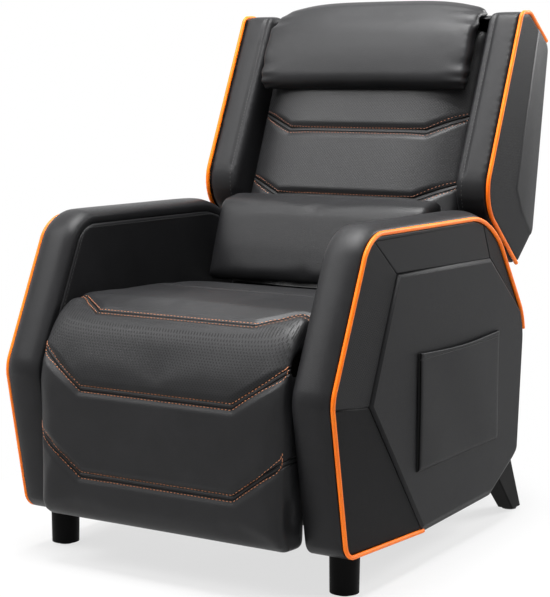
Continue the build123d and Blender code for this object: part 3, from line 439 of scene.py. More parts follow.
def holes(across, along):  # round holes on a diagonal grid over the two directions of a panel
    step = leatherLook["diagonal"] / leatherLook["holeSpacing"]
    turned = {0: (across + along) * step, 1: (across - along) * step}
    flat = across.node("ShaderNodeCombineXYZ", inputs=turned)
    cells = flat.node("ShaderNodeTexVoronoi", {"voronoi_dimensions": "2D"},
                      {"Vector": flat, "Scale": 1.0, "Randomness": 0.0}, output="Distance")
    return cells < leatherLook["holeRadius"]


def leather(name, colour=leatherLook["black"], specular=leatherLook["specular"], wrinkle=1.0,
            perforated=None, creases=None, attribute=None):
    # coated leather: fine grain, soft wrinkles, holes, and creases darkened with painted shade, where the
    # masks say
    look = leatherLook
    finish, place, shader = newFinish(name, {"Specular IOR Level": specular}, attribute)
    grain = place.node("ShaderNodeTexVoronoi", {"feature": "DISTANCE_TO_EDGE"},
                       {"Vector": place, "Scale": look["grainScale"]}, output="Distance")
    soft, broad = place.noise(*look["wrinkles"]), place.noise(*look["patches"])
    height = grain.atMost(look["grainEdge"]) * look["grainHeight"] + soft * (look["wrinkleHeight"] * wrinkle)
    rough = soft * look["softGloss"] + broad * look["broadGloss"] + look["roughness"]
    tint = (soft * broad * look["fade"]).mixed(colour, brighter(colour, look["fadeGain"]))
    if perforated:
        mask = perforated(place)
        height = height - mask * look["holeDepth"]
        rough = rough + mask * look["holeRoughness"]
        tint = (mask * look["holeDark"]).mixed(tint, look["holesAndCreaseShade"])
    normal = height.bump(look["bump"], look["relief"])
    if creases:
        groove = creases(place)
        normal = (1 - groove).bump(1.0, look["creaseDepth"], normal)
        # painted shade: the creases are darkened, as the shade in their grooves
        tint = (groove * look["creaseShade"]).mixed(tint, look["holesAndCreaseShade"])
    connect(shader, tint, normal, rough)
    return finish


plainLook = {"bump": 0.4, "patches": (18.0, 3.0), "speckDetail": 3.0, "gloss": 0.16}


def plain(name, colour, roughness, metallic=0.0, specular=0.5, speck=0.15, scale=400.0, relief=0.0002,
          attribute=None):
    # moulded plastic, thread, painted or bare metal: a fine speckle and uneven gloss
    shine = {"Metallic": metallic, "Specular IOR Level": specular}
    finish, place, shader = newFinish(name, shine, attribute)
    fine, broad = place.noise(scale, plainLook["speckDetail"]), place.noise(*plainLook["patches"])
    gloss = broad * plainLook["gloss"] + (roughness - plainLook["gloss"] / 2)
    connect(shader, broad.mixed(colour, brighter(colour, 1 + speck)),
            fine.bump(plainLook["bump"], relief), gloss)
    return finish


woodLook = {
    "stretch": (3.0, 40.0, 40.0), "grain": (3.0, 6.0, 0.7),
    "stops": [(0.3, (0.006, 0.005, 0.004, 1)), (0.7, (0.016, 0.013, 0.01, 1))],
    "bump": 0.3, "relief": 0.0005, "roughness": 0.6, "gloss": 0.2,
}


def wood(name):
    finish, place, shader = newFinish(name, {})
    drawn = place.node("ShaderNodeMapping", inputs={"Vector": place, "Scale": woodLook["stretch"]})
    grain = drawn.noise(*woodLook["grain"])
    tint = grain.node("ShaderNodeValToRGB", inputs={0: grain})
    ramp = tint.socket.node.color_ramp
    for stop, (start, colour) in zip(ramp.elements, woodLook["stops"]):
        stop.position = start
        stop.color = colour
    connect(shader, tint, grain.bump(woodLook["bump"], woodLook["relief"]),
            grain * woodLook["gloss"] + woodLook["roughness"])
    return finish


wovenLook = {"pitch": 0.0016, "bands": 0.3, "gain": 1.8, "roughness": 0.85, "bump": 0.5, "relief": 0.0006}


def woven(name, colour):
    finish, place, shader = newFinish(name, {"Roughness": wovenLook["roughness"]})
    bands = {"Vector": place, "Scale": wovenLook["bands"] / wovenLook["pitch"]}
    weave = place.node("ShaderNodeTexWave", {"bands_direction": "X"}, bands) \
        * place.node("ShaderNodeTexWave", {"bands_direction": "Z"}, bands)
    connect(shader, weave.mixed(colour, brighter(colour, wovenLook["gain"])),
            weave.bump(wovenLook["bump"], wovenLook["relief"]))
    return finish


# the camera, floor and light
view = {
    "turn": 31.493, "tilt": 7.296, "roll": 0.265, "place": (1.6527, -2.7673, 0.8715),
    "focalPixels": 1650.57,
    "sensor": 36,  # spans the picture's height
    "heightPixels": 597,
}


def addCamera():
    turn, tilt, roll = (radians(view[key]) for key in ("turn", "tilt", "roll"))
    away = Vector((sin(turn) * cos(tilt), -cos(turn) * cos(tilt), sin(tilt)))
    right = Vector((cos(turn), sin(turn), 0))
    up = away.cross(right)
    across = right * cos(roll) + up * sin(roll)
    upward = up * cos(roll) - right * sin(roll)
    bpy.ops.object.camera_add()
    camera = bpy.context.object
    turned = Matrix((across, upward, away)).transposed().to_4x4()
    camera.matrix_world = Matrix.Translation(view["place"]) @ turned
    camera.data.sensor_width = view["sensor"]
    camera.data.lens = view["focalPixels"] * view["sensor"] / view["heightPixels"]
    scene.camera = camera


lamps = [
    {"name": "key", "place": (-2.0, -2.2, 3.1), "aim": (0, 0.1, 0.7), "size": 1.6, "power": 108},
    {"name": "fill", "place": (1.7, 2.2, 1.9), "aim": (0.3, 0.1, 0.6), "size": 1.2, "power": 85},
    {"name": "top", "place": (0.0, -0.3, 3.3), "aim": (0, 0.1, 0.6), "size": 1.8, "power": 230},
]


def addLamps():
    for lamp in lamps:
        bpy.ops.object.light_add(type="AREA", location=lamp["place"])
        light = bpy.context.object
        light.name = lamp["name"] + "_lamp"
        light.data.size = lamp["size"]
        light.data.energy = lamp["power"]
        away = Vector(lamp["place"]) - Vector(lamp["aim"])
        light.rotation_euler = away.to_track_quat("Z", "Y").to_euler()


room = {
    "floor": (0.62, 0.62, 0.62, 1), "floorSize": 14, "roughness": 0.8,
    "whiteness": 0.7,  # of the floor below the chair
    "whiteFrom": 0.45,  # past this distance it grows by one for each metre
    "sky": 0.12,
}


def showWhite(shade, output, whiteness):  # white to the eye, while the shade lights the piece
    rays = sum(shade.node("ShaderNodeLightPath", output=f"Is {kind} Ray")
               for kind in ("Camera", "Glossy", "Transmission"))
    white = shade.node("ShaderNodeEmission", inputs={"Color": (1, 1, 1, 1), "Strength": 1.0})
    seen = shade.node("ShaderNodeMixShader", inputs={0: rays.atMost(1.0) * whiteness, 1: shade, 2: white})
    shade.tree.links.new(seen.socket, shade.tree.nodes[output].inputs["Surface"])


def addRoom():
    deselectAll()
    bpy.ops.mesh.primitive_plane_add(size=room["floorSize"], location=(0, 0, 0))
    floor = bpy.context.object
    floor.name = "floor"
    matt = {"Base Color": room["floor"], "Roughness": room["roughness"]}
    finish, place, shader = newFinish("paleFloor", matt)
    distance = place.node("ShaderNodeVectorMath", {"operation": "LENGTH"}, {0: place}, output="Value")
    whiteness = (distance.over(room["whiteFrom"]) + room["whiteness"]).atMost(1.0)
    showWhite(Wire(place.tree, shader.outputs[0]), "Material Output", whiteness)
    dress(floor, finish)
    scene.world = scene.world or bpy.data.worlds.new("room")
    scene.world.use_nodes = True
    sky = scene.world.node_tree.nodes["Background"]
    sky.inputs["Color"].default_value = (1, 1, 1, 1)
    sky.inputs["Strength"].default_value = room["sky"]
    showWhite(Wire(scene.world.node_tree, sky.outputs[0]), "World Output", 1.0)
    scene.view_settings.view_transform = "Standard"


addCamera()
addLamps()
addRoom()
print("camera, lamps and floor are in place")


# measures that the pieces share with their finishes, an outline's corners by Y and Z
arm = {
    "corners": [(-0.3332, 0.63), (-0.458, 0.3574), (-0.4028, 0.0779), (-0.11, 0.062),
                (0.1932, 0.0682), (0.3212, 0.1313), (0.342, 0.4068), (0.17, 0.63)],
    "radii": [0.072, 0.06, 0.035, 0.03, 0.025, 0.03, 0.11, 0.18],
    "innerX": 0.266, "bandX": 0.268, "faceX": 0.3416, "padTopFront": (-0.2268, 0.5499),
    "padTopRear": (0.1628, 0.5448), "padFront": (-0.3236, 0.3307),
    "pipingTopFront": (-0.3332, 0.63), "pipingTopRear": (0.125, 0.625),
    "pipingFront": (-0.458, 0.345),
}
pocket = {
    "front": -0.15, "rear": 0.199, "low": 0.183, "top": 0.401, "outX": 0.3556,
    "sewn": [("front", 0.0012, 0.003), ("rear", -0.0012, 0.0026)],  # painted shade along the sewn edges: edge, shift along Y, width
    # painted shade along the low sewn edge and in the hem's seam, the seam taking a share of it
    "sewnLow": (0.001, 0.0022), "hemSeam": (-0.0115, 0.0014), "hemShare": 0.6,
}
seat = {  # each line by corner across, end across, then height or Y at the corner and at the end
    "halfWidth": 0.2615, "upperLine": (0.167, 0.232, -0.411, -0.362),
    "restLine": (0.161, 0.275, 0.336, 0.413), "lowLine": (0.163, 0.28, 0.178, 0.262),
    "upperFrom": 0.44,  # height that parts the upper line from the two below it
    "crease": 0.003, "upperCrease": 0.0026, "holeMargin": 0.008, "holeSlant": 0.8,
}
back = {
    "lean": radians(21.5),
    "leanSlope": 0.3939,  # its tangent
    "place": (0.0, 0.243, 0.785), "chevrons": (0.785, 0.65), "corner": 0.16,
    "rise": 0.5,  # up the lean for each metre across, past the corner
    "crease": 0.0032, "holeMargin": 0.008,
}


leanSin, leanCos = sin(back["lean"]), cos(back["lean"])
leanFront = Vector((0, -leanCos, leanSin))  # out of the leaning pad's front


def above(height, across, line):  # how far a height is above a line that is level up to its corner
    corner, end, low, high = line
    return height - (across.over(corner) * ((high - low) / (end - corner)) + low)


def twoRows(distance, width):  # the creases on both sides of a seam
    return (abs(distance) - stitch["apart"]).ridge(width)


# the seat's seams, which the leather bumps in and darkens with painted shade
def seatCreases(place):
    x, y, z = split(place)
    across = abs(x)
    rest = twoRows(above(z, across, seat["restLine"]), seat["crease"])
    lower = twoRows(above(z, across, seat["lowLine"]), seat["crease"])
    outward = across.atMost(seat["upperLine"][1])
    upper = twoRows(above(y, outward, seat["upperLine"]), seat["upperCrease"])
    return ((rest + lower) * (z < seat["upperFrom"]) + upper * (z > seat["upperFrom"])).atMost(1.0)


def seatHoles(place):
    x, y, z = split(place)
    aboveRest = above(z, abs(x), seat["restLine"]) > seat["holeMargin"]
    beforeUpper = above(y, abs(x), seat["upperLine"]) < -seat["holeMargin"]
    return holes(x, z - y * seat["holeSlant"]) * aboveRest * beforeUpper


def upTheLean(y, z):  # height along the leaning pad, zero at its reference point
    return (y - back["place"][1]) * leanSin + (z - back["place"][2]) * leanCos


def chevronHeight(chevron):
    return (chevron - back["place"][2]) / leanCos


def overChevron(place):  # height along the pad, less what a chevron rises past its corner
    x, y, z = split(place)
    return upTheLean(y, z) - abs(x).over(back["corner"]) * back["rise"]


# the chevrons' seams, which the leather bumps in and darkens with painted shade
def backCreases(place):
    height = overChevron(place)
    rows = [twoRows(height - chevronHeight(chevron), back["crease"]) for chevron in back["chevrons"]]
    return sum(rows).atMost(1.0)


def backHoles(place):
    x, y, z = split(place)
    low = chevronHeight(min(back["chevrons"])) + back["holeMargin"]
    return holes(x, upTheLean(y, z)) * (overChevron(place) > low)


def sideHoles(place):
    x, y, z = split(place)
    return holes(y, z)


def pocketEdgeShade(place):  # painted shade along the sewn edges and in the seam of the hem
    x, y, z = split(place)
    edges = sum((y - (pocket[key] + inward)).ridge(width) for key, inward, width in pocket["sewn"])
    inward, width = pocket["sewnLow"]
    low = (z - (pocket["low"] + inward)).ridge(width)
    inward, width = pocket["hemSeam"]
    hem = (z - (pocket["top"] + inward)).ridge(width)
    return (edges + low + hem * pocket["hemShare"]).atMost(1.0)


# finishes
def grey(level):
    return (level, level, level, 1)


threadScale = 2500.0
smoothLeather = leather("smoothBlackLeather", specular=0.16)
sideLeather = leather("sideBlackLeather", specular=0.07, wrinkle=0.7)
# a darker copy of the side leather for the lower front panel: its darker colour is painted shade, its lower
# gloss is the leather's
shadedLowerLeather = leather("shadedLowerBlackLeather", colour=(0.0045, 0.0045, 0.0048, 1), specular=0.03, wrinkle=0.6)
# the pocket's edges and hem seam are darkened with painted shade
pocketLeather = leather("pocketLeather", specular=0.07, wrinkle=0.8, creases=pocketEdgeShade)
perforatedSide = leather("perforatedSideLeather", specular=0.07, wrinkle=0.5, perforated=sideHoles)
seatLeather = leather("channelledSeatLeather", perforated=seatHoles, creases=seatCreases,
                      attribute="restPlace")
backLeather = leather("channelledBackLeather", specular=0.27, perforated=backHoles, creases=backCreases)
pillowLeather = leather("pillowLeather", wrinkle=1.3)
orangeCord = leather("orangePipingLeather", colour=(0.8, 0.125, 0.004, 1), wrinkle=0.4)
orangeThread = plain("orangeThread", (0.52, 0.2, 0.09, 1), 0.6, scale=threadScale, attribute="restPlace")
brownThread = plain("brownThread", (0.36, 0.15, 0.09, 1), 0.6, scale=threadScale)
greyThread = plain("greyThread", grey(0.045), 0.7, scale=threadScale)
blackPlastic = plain("blackMouldedPlastic", grey(0.0024), 0.5, specular=0.05, scale=900.0, relief=0.00012)
glidePlastic = plain("greyGlidePlastic", grey(0.06), 0.5)
paintedSteel = plain("blackPaintedSteel", (0.02, 0.02, 0.022, 1), 0.4, scale=1200.0, relief=0.0001)
brightSteel = plain("zincPlatedSteel", (0.56, 0.56, 0.58, 1), 0.36, metallic=1.0, speck=0.1)
darkPlywood = wood("stainedPlywood")
elastic = woven("elasticWebbing", grey(0.03))
print("finishes are ready")


# arms
band = {
    "flange": 0.016,
    "loopsX": (0.2695, 0.273, 0.279, 0.288, 0.3, 0.312, 0.323, 0.332, 0.338, 0.3405),
    "loopsZ": (0.15, 0.22, 0.29, 0.43, 0.5, 0.56), "loopsY": (-0.3, -0.2, -0.1, 0.0, 0.1),
    "crown": 0.011,
    "frontCrown": 0.85,  # shares of the crown
    "rearCrown": 0.35,
    "rims": 9,  # the inner rim is this part of the width
    "rimDrop": 0.003, "middle": (0, -0.06, 0.34), "leastSlope": 0.3,
}


def outerCrown(x):  # how far the band stands out at this place across it
    t = (x - arm["bandX"]) / (arm["faceX"] - arm["bandX"])
    rim = max(0.0, 1 - t * band["rims"])
    return band["crown"] * (1 - abs(2 * clamp(t) - 1) ** 3) - band["rimDrop"] * rim * rim


def bandShift(point, normal):
    outside = normal.dot(point - Vector(band["middle"])) >= 0
    if normal.yz.length < band["leastSlope"] or not outside or abs(point.x) < arm["bandX"] - samePoint:
        return Vector()
    flat = Vector((0, normal.y, normal.z)).normalized()
    share = max(0.0, flat.z) + band["frontCrown"] * max(0.0, -flat.y) + band["rearCrown"] * max(0.0, flat.y)
    share = min(1.0, share) * (1 - max(0.0, -flat.z)) ** 2
    return flat * outerCrown(point.x) * share


def makeBand():
    cover = outlineBlock("arm_band_left_cover", arm["corners"], arm["radii"], arm["bandX"], arm["faceX"])
    selectFaces(cover, lambda normal: abs(normal.x) > facing)
    bpy.ops.mesh.inset(thickness=band["flange"])
    bpy.ops.mesh.bridge_edge_loops()
    editDone()
    addLoops(cover, 0, band["loopsX"])
    addLoops(cover, 2, band["loopsZ"])
    addLoops(cover, 1, band["loopsY"])
    moveEach(cover, bandShift)
    refine(cover)
    return finished(cover, smoothLeather, angle=50)


panels = {
    "inset": 0.0084,  # from the arm's outline, for the piping
    "leastRadius": 0.02, "steps": 6,
    "thin": (0.002, 0.0012, 0.0004),  # height over the face, turned edge, dome
    "thick": (0.004, 0.0028, 0.001),
    "sliver": 0.0036,  # shorter edges are closed up
    "sliverReach": 0.03,  # this near to an end of the piping
}


def softPanel(name, cuts, form, finish):
    # a cover panel: the arm's outline drawn in for the piping, cut along its seams, edges turned under
    height, edge, dome = panels[form]
    piece = insetBlock(name, arm, panels["inset"], panels["leastRadius"],
                       arm["faceX"], arm["faceX"] + height, panels["steps"])
    planeCuts(piece, cuts, True)
    ends = [Vector(arm[key]) for key in ("pipingTopFront", "pipingTopRear", "pipingFront")]

    def sliver(a, b):  # what a cut leaves of an arc's segment beside a seam
        near = min((a.yz - end).length for end in ends) < panels["sliverReach"]
        return near and abs(a.x - b.x) < samePlane and (a - b).length < panels["sliver"]

    selectEdges(piece, sliver)
    bpy.ops.mesh.edge_collapse()
    editDone()
    foldEdge(piece, 1, [(edge, edge * 0.5), (edge * 1.5, edge * 0.5 + dome), (edge * 0.5, 0.0)])
    return finished(piece, finish, angle=60)


def makeSidePanels():
    padTop, padRear, padFront = arm["padTopFront"], arm["padTopRear"], arm["padFront"]
    pipeTop, pipeRear, pipeFront = arm["pipingTopFront"], arm["pipingTopRear"], arm["pipingFront"]
    lowest, rear = arm["corners"][3], arm["corners"][6]
    upper = softPanel("front_upper", lineCuts([pipeFront, padFront, padTop, pipeTop]), "thin", perforatedSide)
    # the lower front panel takes the leather that is darkened with painted shade
    lower = softPanel("front_lower", lineCuts([lowest, padFront, pipeFront]), "thin", shadedLowerLeather)
    frontCover = joined([upper, lower], "arm_front_panel_left_cover")
    top = softPanel("top", lineCuts([pipeTop, padTop, padRear, pipeRear]), "thin", sideLeather)
    strip = softPanel("rear_strip", lineCuts([pipeRear, padRear, rear]), "thin", perforatedSide)
    topCover = joined([top, strip], "arm_top_panel_left_cover")
    seams = lineCuts([padTop, padFront, lowest]) + lineCuts([rear, padRear, padTop])
    return frontCover, topCover, softPanel("arm_side_pad_left_cover", seams, "thick", sideLeather)


piping = {
    "inset": 0.0042, "leastRadius": 0.004, "radius": 0.0041, "startX": 0.3, "armX": 0.3458,
    "arm": [(-0.111, -1), (1, 0.385)],  # it runs where Y is below and the height above those of a pair
    "wing": [(0.333, -1), (1, 1.02), (0.44, 0.985)],
}


def makePiping(name, shape, faceX, steps, stretches):
    # the edges of a drawn-in outline made into a round cord
    def other(a, b):
        y, z = (a.y + b.y) / 2, (a.z + b.z) / 2
        piped = any(y < mostY and z > leastZ for mostY, leastZ in stretches)
        return not piped or min(a.x, b.x) <= faceX - samePlane

    cord = insetBlock(name, shape, piping["inset"], piping["leastRadius"], piping["startX"], faceX, steps)
    selectEdges(cord, other)
    bpy.ops.mesh.delete(type="EDGE")
    editDone()
    pick(cord)
    bpy.ops.object.convert(target="CURVE")
    cord.data.bevel_depth = piping["radius"]
    cord.data.bevel_resolution = 3
    cord.data.use_fill_caps = True
    bpy.ops.object.convert(target="MESH")
    return finished(cord, orangeCord, angle=60)


innerPad = {
    "inset": 0.0163, "leastRadius": 0.024, "depth": 0.002, "backX": 0.2795,
    "rings": [(0.0015, 0.0009), (0.0028, 0.0007), (0.0015, 0.0)],
    "threadInset": 0.0225, "threadCorners": (6, 7, 0, 1),
}


def makeInnerPad():
    name = "arm_inner_pad_left_cover"
    pad = insetBlock(name, arm, innerPad["inset"], innerPad["leastRadius"],
                     arm["innerX"] + innerPad["depth"], innerPad["backX"])
    foldEdge(pad, -1, innerPad["rings"])
    finished(pad, smoothLeather, angle=60)
    line = [(arm["innerX"], y, z) for y, z in insetOutline(arm["corners"], innerPad["threadInset"])]
    thread = threadRow("arm_inner_thread", pad, [[line[i] for i in innerPad["threadCorners"]]], greyThread)
    return joined([pad, thread], name)


patch = {
    "thickness": 0.002, "columns": 24, "rows": 16, "hemLoops": (0.004, 0.01), "edgeLoop": 0.0028,
    "tuck": 0.0048,  # the sewn edges go in this far
    "tuckReach": 0.0026, "hem": 0.0008, "hemWidth": 0.009, "belly": 0.0012, "ripple": 0.0006,
    "ripples": (9, 4),  # along and upward
    "sag": 0.006,
}


def makePocket():
    # a patch of leather with a turned hem, sewn down on three sides and hanging open at the top
    front, rear, low, top = (pocket[key] for key in ("front", "rear", "low", "top"))
    width, height = rear - front, top - low
    cover = addBlock("side_pocket_patch", (pocket["outX"] - patch["thickness"], front, low),
                     (pocket["outX"], rear, top))
    ys = [front + width * i / patch["columns"] for i in range(1, patch["columns"])]
    zs = [low + height * i / patch["rows"] for i in range(1, patch["rows"])]
    addLoops(cover, 1, ys + [front + patch["edgeLoop"], rear - patch["edgeLoop"]])
    addLoops(cover, 2, zs + [top - step for step in patch["hemLoops"]] + [low + patch["edgeLoop"]])

    alongRate, upRate = patch["ripples"]

    def hang(point, normal):
        along, up = (point.y - front) / width, (point.z - low) / height
        near = min(point.y - front, rear - point.y, point.z - low)
        tuck = patch["tuck"] * max(0.0, 1 - near / patch["tuckReach"])
        middle = sin(pi * along)
        hem = patch["hem"] * copysign(1, normal.x) if point.z > top - patch["hemWidth"] else 0.0
        ripple = patch["ripple"] * sin(alongRate * point.y / width + upRate * up)
        belly = patch["belly"] * middle * up - ripple
        return Vector((belly - tuck + hem, 0, -patch["sag"] * middle * up ** 3))

    moveEach(cover, hang)
    refine(cover)
    return finished(cover, pocketLeather, angle=70)


armBand, armInner = makeBand(), makeInnerPad()
armPiping = makePiping("arm_piping_left_cord", arm, piping["armX"], 10, piping["arm"])
armFront, armTop, armSide = makeSidePanels()
fitPair(armBand, "arm_band", "base")
fitPair(armInner, "arm_inner_pad", "base")
fitPair(armPiping, "arm_piping", "base")
fitPair(armFront, "arm_front_panel", "base")
fitPair(armTop, "arm_top_panel", "base")
fitPair(armSide, "arm_side_pad", "base")
fit(makePocket(), "side_pocket", "base")
print("arms are covered")


# seat and leg rest
seatForm = {
    "inset": 0.001,
    "top": [(-0.413, 0.4785), (-0.449, 0.4225), (0.106, 0.4225), (0.106, 0.462),
            (0.0, 0.476), (-0.13, 0.484), (-0.345, 0.488)],
    "topRadii": [0.055, 0.002, 0.004, 0.014, 0.06, 0.06, 0.05],
    "rest": [(-0.4345, 0.44), (-0.461, 0.4015), (-0.4725, 0.345), (-0.4735, 0.243),
             (-0.47, 0.085), (-0.4365, 0.085), (-0.433, 0.44)],
    "restRadii": [0.0004, 0.05, 0.08, 0.05, 0.034, 0.004, 0.0004],
    "cheekX": 0.243, "cheekLow": (-0.44, 0.0865), "cheekHigh": (-0.392, 0.394), "bevel": 0.008,
    "voxel": 0.0065, "pressure": 3.0, "cap": 0.004, "stiffness": 12.0, "smoothing": 10,
    "freeY": -0.4375,  # the cover is free in front of this, above freeZ and at the cheeks' outsides
    "freeZ": 0.424, "freeX": 0.247, "cheekBackY": -0.397, "rollTop": (0, -0.413, 0.4785),
    "rollFoot": (0, -0.461, 0.4015), "bulge": 0.008, "bulgeReach": 0.012, "rollSmoothing": 70,
    "rollStart": (-0.385, 0.37), "rollFade": (0.02, 0.03),
    "press": [(0.017, 0.0062), (0.017, 0.0062), (0.017, 0.0045)],  # width and depth of each sewn line
    "crossSeam": (-0.27, -0.148, 0.487), "crossPress": (0.009, 0.003),
}
seatDepths = {  # Y of the two lower lines at corner and end, heights of the upper one
    "rest": (-0.475, -0.459), "low": (-0.475, -0.476), "upper": (0.4765, 0.488, 0.487), "side": 0.004,
}


def storePlace(piece):  # where each point is at rest, for the finish
    mesh = piece.data
    attribute = mesh.attributes.new("restPlace", "FLOAT_VECTOR", "POINT")
    attribute.data.foreach_set("vector", [c for v in mesh.vertices for c in v.co])


def seatLines():
    lines = []
    for key, (cornerY, endY) in (("restLine", seatDepths["rest"]), ("lowLine", seatDepths["low"])):
        corner, end, low, high = seat[key]
        lines.append(bothSides([(-end, endY, high), (-corner, cornerY, low)]))
    corner, end, front, rear = seat["upperLine"]
    cornerZ, endZ, sideZ = seatDepths["upper"]
    side = seat["halfWidth"] - seatDepths["side"]
    return lines + [bothSides([(-side, rear, sideZ), (-end, rear, endZ), (-corner, front, cornerZ)])]


def makeSeatCover():
    form = seatForm
    half = seat["halfWidth"] - form["inset"]
    top = outlineBlock("seat_top", form["top"], form["topRadii"], -half, half, 6)
    rest = outlineBlock("leg_part", form["rest"], form["restRadii"], -half, half, 4)
    cheeks = [addBlock("cheek", (lowX, *form["cheekLow"]), (highX, *form["cheekHigh"]))
              for lowX, highX in ((form["cheekX"], half), (-half, -form["cheekX"]))]
    cover = joined([top, rest] + cheeks, "seat_and_leg_rest_cover")
    bevelEnds(cover, half, form["bevel"], 3)

    def held(point):  # the underside, the back of the leg rest and the inside of its cheeks
        inside = abs(point.x) < form["freeX"] or point.y > form["cheekBackY"]
        return point.y > form["freeY"] and point.z < form["freeZ"] and inside

    rollTop, rollFoot = Vector(form["rollTop"]), Vector(form["rollFoot"])
    chord = rollFoot - rollTop

    def bulge(point, normal):  # the roll is fuller in the middle
        fromTop = Vector((0, point.y, point.z)) - rollTop
        along = fromTop.dot(chord) / chord.length_squared
        near = abs(fromTop.cross(chord).x) / chord.length < form["bulgeReach"]
        if not near or not 0 < along < 1:
            return Vector()
        across = 1 - (abs(point.x) / half) ** 4
        outward = Vector((0, chord.z, -chord.y)).normalized()
        return outward * (form["bulge"] * sin(pi * along) * across)

    stuffed(cover, form, held, bulge)
    roll = cover.vertex_groups.new(name="roll")
    (startY, startZ), (fadeY, fadeZ) = form["rollStart"], form["rollFade"]
    for v in cover.data.vertices:
        share = clamp((startY - v.co.y) / fadeY) * clamp((v.co.z - startZ) / fadeZ)
        roll.add([v.index], share, "REPLACE")
    applied(cover, "SMOOTH", factor=0.5, iterations=form["rollSmoothing"], vertex_group="roll", use_x=False)
    refine(cover)
    for line, press in zip(seatLines(), form["press"]):
        pressLine(cover, line, *press)
    pressLine(cover, bothSides([form["crossSeam"]]), *form["crossPress"])
    storePlace(cover)
    return finished(cover, seatLeather)


def beside(line, shift):  # a line moved along Z on the leg rest and along Y on the seat
    onSeat = [z > seat["upperFrom"] for x, y, z in line]
    return [(x, y + shift * up, z + shift * (not up)) for (x, y, z), up in zip(line, onSeat)]


seatCover = makeSeatCover()
rows = [beside(line, shift) for line in seatLines() for shift in (-stitch["apart"], stitch["apart"])]
seatThread = threadRow("seat_and_leg_rest_thread", seatCover, rows, orangeThread)
storePlace(seatThread)
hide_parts("seat_cushion", "leg_rest_cushion")
for piece in (seatCover, seatThread):
    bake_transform(piece)
print("seat and leg rest are covered")


# back pad and pillows
backForm = {
    "half": 0.2505, "low": 0.432, "high": 0.98, "raise": 0.024, "front": 0.003, "rear": 0.06,
    "loopStep": 0.025, "loops": 9, "arch": (0.11, 0.14, 0.026),
    "archFront": 0.01,  # what lies before this is arched
    "heldDepth": 0.052, "voxel": 0.0075, "pressure": 2.0, "cap": 0.006, "stiffness": 12.0,
    "smoothing": 24, "press": (0.018, 0.008),
    "lineEnds": [(0.245, -0.018), (0.21, -0.006)],  # across, and out from the pad's front
}


def intoLean(point, start):  # depth behind a leaning plane through the start
    return (point.y - start[0]) * leanCos - (point.z - start[1]) * leanSin


def behind(point, start, margin):  # whether it is behind a leaning plane that is put forward by the margin
    return point.y - start[0] > (point.z - start[1]) * back["leanSlope"] - margin


def onLean(x, up, out):  # a point of the pad: across, up the lean from its reference, out from its front
    return x, back["place"][1] + up * leanSin - out * leanCos, back["place"][2] + up * leanCos + out * leanSin


def chevronLines(shift=0.0):
    lines = []
    for chevron in back["chevrons"]:
        up = chevronHeight(chevron) + shift
        lines.append(bothSides([onLean(-x, up + (x - back["corner"]) * back["rise"], out)
                                for x, out in backForm["lineEnds"] + [(back["corner"], 0.0)]]))
    return lines


def makeBackPad():  # arched across, thinner at both sides
    form = backForm
    low, high = (chevronHeight(form[key]) + form["raise"] for key in ("low", "high"))
    pad = addBlock("back_pad_cover", (-form["half"], form["front"], low), (form["half"], form["rear"], high))
    addLoops(pad, 0, [form["loopStep"] * i for i in range(-form["loops"], form["loops"] + 1)])

    def arch(point, normal):
        start, width, most = form["arch"]
        outward = max(0.0, abs(point.x) - start) / width
        return Vector((0, most * outward ** 2 * (point.y < form["archFront"]), 0))

    moveEach(pad, arch)
    pick(pad)
    pad.matrix_world = Matrix.Translation(back["place"]) @ Matrix.Rotation(-back["lean"], 4, "X")
    setPlace(pad)
    stuffed(pad, form, lambda point: intoLean(point, back["place"][1:]) > form["heldDepth"])
    refine(pad)
    for line in chevronLines():
        pressLine(pad, line, *form["press"])
    return finished(pad, backLeather)


lumbarForm = {
    "half": 0.239,
    "section": [(0.0385, 0.48), (0.112, 0.472), (0.185, 0.645),
                (0.158, 0.6525), (0.094, 0.643), (0.06, 0.55)],
    "radii": [0.01, 0.012, 0.012, 0.018, 0.02, 0.06],
    "bevel": 0.01, "voxel": 0.0065, "pressure": 4.0, "cap": 0.0045, "stiffness": 25.0,
    "smoothing": 16, "rearLine": (0.1835, 0.642), "heldMargin": 0.006, "gatherLine": (0.115, 0.56),
    "gather": (0.15, 0.09, 0.1),  # from this far across, over this width, share of the depth
}
headForm = {
    "half": 0.2395,
    "section": [(0.2755, 0.861), (0.3425, 1.031), (0.338, 1.0385), (0.284, 0.995), (0.245, 0.884)],
    "radii": [0.01, 0.002, 0.016, 0.06, 0.024],
    "hook": [(0.33, 1.0235), (0.393, 1.0285), (0.372, 1.0485), (0.338, 1.0385)],
    "hookRadii": [0.002, 0.008, 0.012, 0.004],
    "hookInset": 0.005, "bevel": 0.004, "voxel": 0.006, "pressure": 2.5, "cap": 0.006,
    "stiffness": 25.0, "smoothing": 6, "rearLine": (0.337, 1.016), "heldMargin": 0.005,
    "heldBelow": 1.025,
    "gatherLine": back["place"][1:],
    "gather": (0.16, 0.07, 0.06),
    "crown": (0.98, 0.06, 0.007),  # from this height, over this height, how much
    "crownAcross": (0.8, 3),  # its share in the middle and what that loses at the ends
    "wrinkle": (0.175, 0.058, 0.0014), "low": 0.86, "height": 0.18,
    "fan": (44, 5, 6, 20),  # waves up the seam, how much they bend, waves of the bend, waves across
}


def gathered(point, form):  # the ends are gathered into the side seams
    start, width, share = form["gather"]
    end = max(0.0, (abs(point.x) - start) / width)
    return leanFront * min(0.0, intoLean(point, form["gatherLine"])) * share * end ** 2


def makeLumbarPillow():
    form, half = lumbarForm, lumbarForm["half"]
    pillow = outlineBlock("lumbar_pillow_cover", form["section"], form["radii"], -half, half, 4)
    bevelEnds(pillow, half, form["bevel"], 3)
    stuffed(pillow, form, lambda point: behind(point, form["rearLine"], form["heldMargin"]),
            lambda point, normal: gathered(point, form))
    refine(pillow)
    return finished(pillow, pillowLeather)


